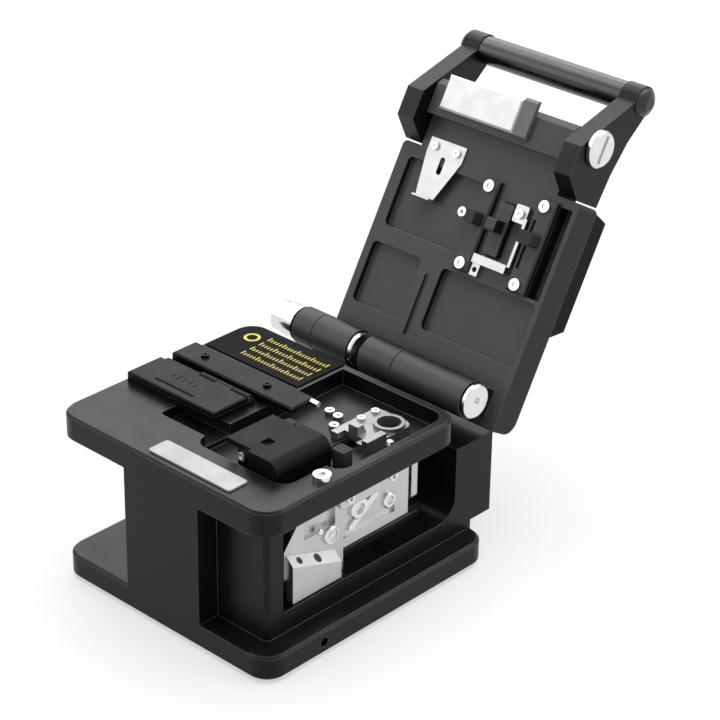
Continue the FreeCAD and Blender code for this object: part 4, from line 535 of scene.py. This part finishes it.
def foot_screws(bm, steps=32):
    """Dark countersunk screws in the foot's sloping top."""
    slope = Vector((-FOOT_OUT, 0, FOOT_RISE))
    across = slope.normalized()
    along = Vector((0, FOOT_LENGTH, FOOT_EDGE_REAR - FOOT_EDGE_FRONT)).normalized()
    out = along.cross(across).normalized()
    corner = Vector((BLOCK_HIGH.x + FOOT_OUT, BLOCK_LOW.y + FOOT_FROM_FRONT, FOOT_EDGE_FRONT))
    for reach, radius in FOOT_SCREWS:
        middle = corner + slope / 2 + along * reach
        loops = []
        for share, lift in FOOT_SCREW_RIMS:
            corners = circle(radius * share, steps)
            loops.append([middle + across * a + along * b + out * lift for a, b in corners])
        closed_form(bm, loops)
    bmesh.ops.recalc_face_normals(bm, faces=bm.faces)


def fit_carriage():
    bright = FINISHES["polished_steel"]
    for name, (place_yz, outline) in FITTINGS.items():
        mesh_piece(name, bright, "carriage", "polished_steel", turned_boss, place_yz, outline)
    mesh_piece("carriage_link", bright, "carriage", "polished_steel", link_bar)
    mesh_piece("carriage_foot", FINISHES["machined_steel"], "carriage", "machined_steel", carriage_foot)
    mesh_piece("carriage_foot_screws", DARK_STEEL, "carriage", "machined_steel", foot_screws)


# ---- studio ----
def direction(azimuth, elevation):
    """Unit vector from the object, with the azimuth from the front towards the right, in radians."""
    flat = math.cos(elevation)
    return Vector((math.sin(azimuth) * flat, -math.cos(azimuth) * flat, math.sin(elevation)))


def white_for_camera(tree, plain, shown):
    """Mixes two shaders: one lights the object, and the other is what the camera and mirrors see."""
    path = add(tree, "ShaderNodeLightPath")
    seen = math_node(tree, "MAXIMUM", path.outputs["Is Camera Ray"], path.outputs["Is Glossy Ray"])
    seen = math_node(tree, "MAXIMUM", seen, path.outputs["Is Transmission Ray"])
    return add(tree, "ShaderNodeMixShader", {0: seen, 1: plain, 2: shown}).outputs["Shader"]


def make_sky():
    world = bpy.data.worlds.new("Studio")
    world.use_nodes = True
    tree = world.node_tree
    tree.nodes.clear()
    light = add(tree, "ShaderNodeBackground", {"Color": rgba(WHITE), "Strength": SKY_FOR_LIGHT})
    shown = add(tree, "ShaderNodeBackground", {"Color": rgba(WHITE), "Strength": SKY_SHOWN})
    sky = white_for_camera(tree, light.outputs["Background"], shown.outputs["Background"])
    tree.links.new(sky, add(tree, "ShaderNodeOutputWorld").inputs["Surface"])
    bpy.context.scene.world = world


def pale_floor():
    """The floor's finish: plain where it lights the object, and paler for the camera and mirrors."""
    material, tree, shader = blank("Pale Floor")
    shader.inputs["Base Color"].default_value = rgba(FLOOR_COLOUR)
    shader.inputs["Roughness"].default_value = FLOOR_ROUGHNESS
    shader.inputs["Specular IOR Level"].default_value = 0.0
    pale = add(tree, "ShaderNodeBsdfDiffuse", {"Color": rgba(FLOOR_SHOWN)}).outputs["BSDF"]
    glow = add(tree, "ShaderNodeEmission", {"Color": rgba(WHITE), "Strength": FLOOR_GLOW}).outputs["Emission"]
    shown = add(tree, "ShaderNodeAddShader", {0: pale, 1: glow}).outputs["Shader"]
    out = [n for n in tree.nodes if n.type == "OUTPUT_MATERIAL"][0]
    tree.links.new(white_for_camera(tree, shader.outputs["BSDF"], shown), out.inputs["Surface"])
    return material


def make_floor():
    bm = bmesh.new()
    bmesh.ops.create_grid(bm, x_segments=1, y_segments=1, size=FLOOR_SIZE / 2)
    mesh = bpy.data.meshes.new("floor")
    bm.to_mesh(mesh)
    bm.free()
    mesh.materials.append(pale_floor())
    floor = bpy.data.objects.new("floor", mesh)
    bpy.context.scene.collection.objects.link(floor)


def make_panel(name, azimuth, elevation, distance, width, height, radiance):
    """A soft panel that faces the object and shows in its glossy surfaces."""
    away = direction(math.radians(azimuth), math.radians(elevation))
    panel = bpy.data.lights.new(name, "AREA")
    panel.shape = "RECTANGLE"
    panel.size = width
    panel.size_y = height
    panel.energy = radiance * math.pi * width * height
    lamp = bpy.data.objects.new(name, panel)
    lamp.location = away * distance + PANEL_AIM
    lamp.rotation_euler = away.to_track_quat("Z", "Y").to_euler()
    lamp.visible_diffuse = False
    bpy.context.scene.collection.objects.link(lamp)


def make_lamps():
    """One wide soft key from above and panels that draw soft lights on the coated surfaces."""
    for name, values in PANELS.items():
        make_panel(name, *values)
    key = bpy.data.lights.new("key", "SUN")
    key.energy = KEY_STRENGTH
    key.angle = math.radians(KEY_SOFTNESS)
    lamp = bpy.data.objects.new("key", key)
    lamp.rotation_euler = [math.radians(angle) for angle in KEY_TILT]
    bpy.context.scene.collection.objects.link(lamp)


def make_camera():
    azimuth = math.radians(CAMERA_AZIMUTH)
    roll = math.radians(CAMERA_ROLL)
    back = direction(azimuth, math.radians(CAMERA_ELEVATION))
    level = Vector((math.cos(azimuth), math.sin(azimuth), 0))
    up = back.cross(level)
    right = level * math.cos(roll) + up * math.sin(roll)
    top = up * math.cos(roll) - level * math.sin(roll)
    data = bpy.data.cameras.new("camera")
    data.lens = CAMERA_LENS
    data.sensor_width = CAMERA_SENSOR
    data.clip_end = CAMERA_REACH
    camera = bpy.data.objects.new("camera", data)
    turn = Matrix((right, top, back)).transposed().to_4x4()
    camera.matrix_world = Matrix.Translation(CAMERA_PLACE) @ turn
    bpy.context.scene.collection.objects.link(camera)
    bpy.context.scene.camera = camera


dress_nodes()
print_marks()
fit_carriage()
make_sky()
make_floor()
make_lamps()
make_camera()
bpy.context.scene.view_settings.view_transform = "Standard"
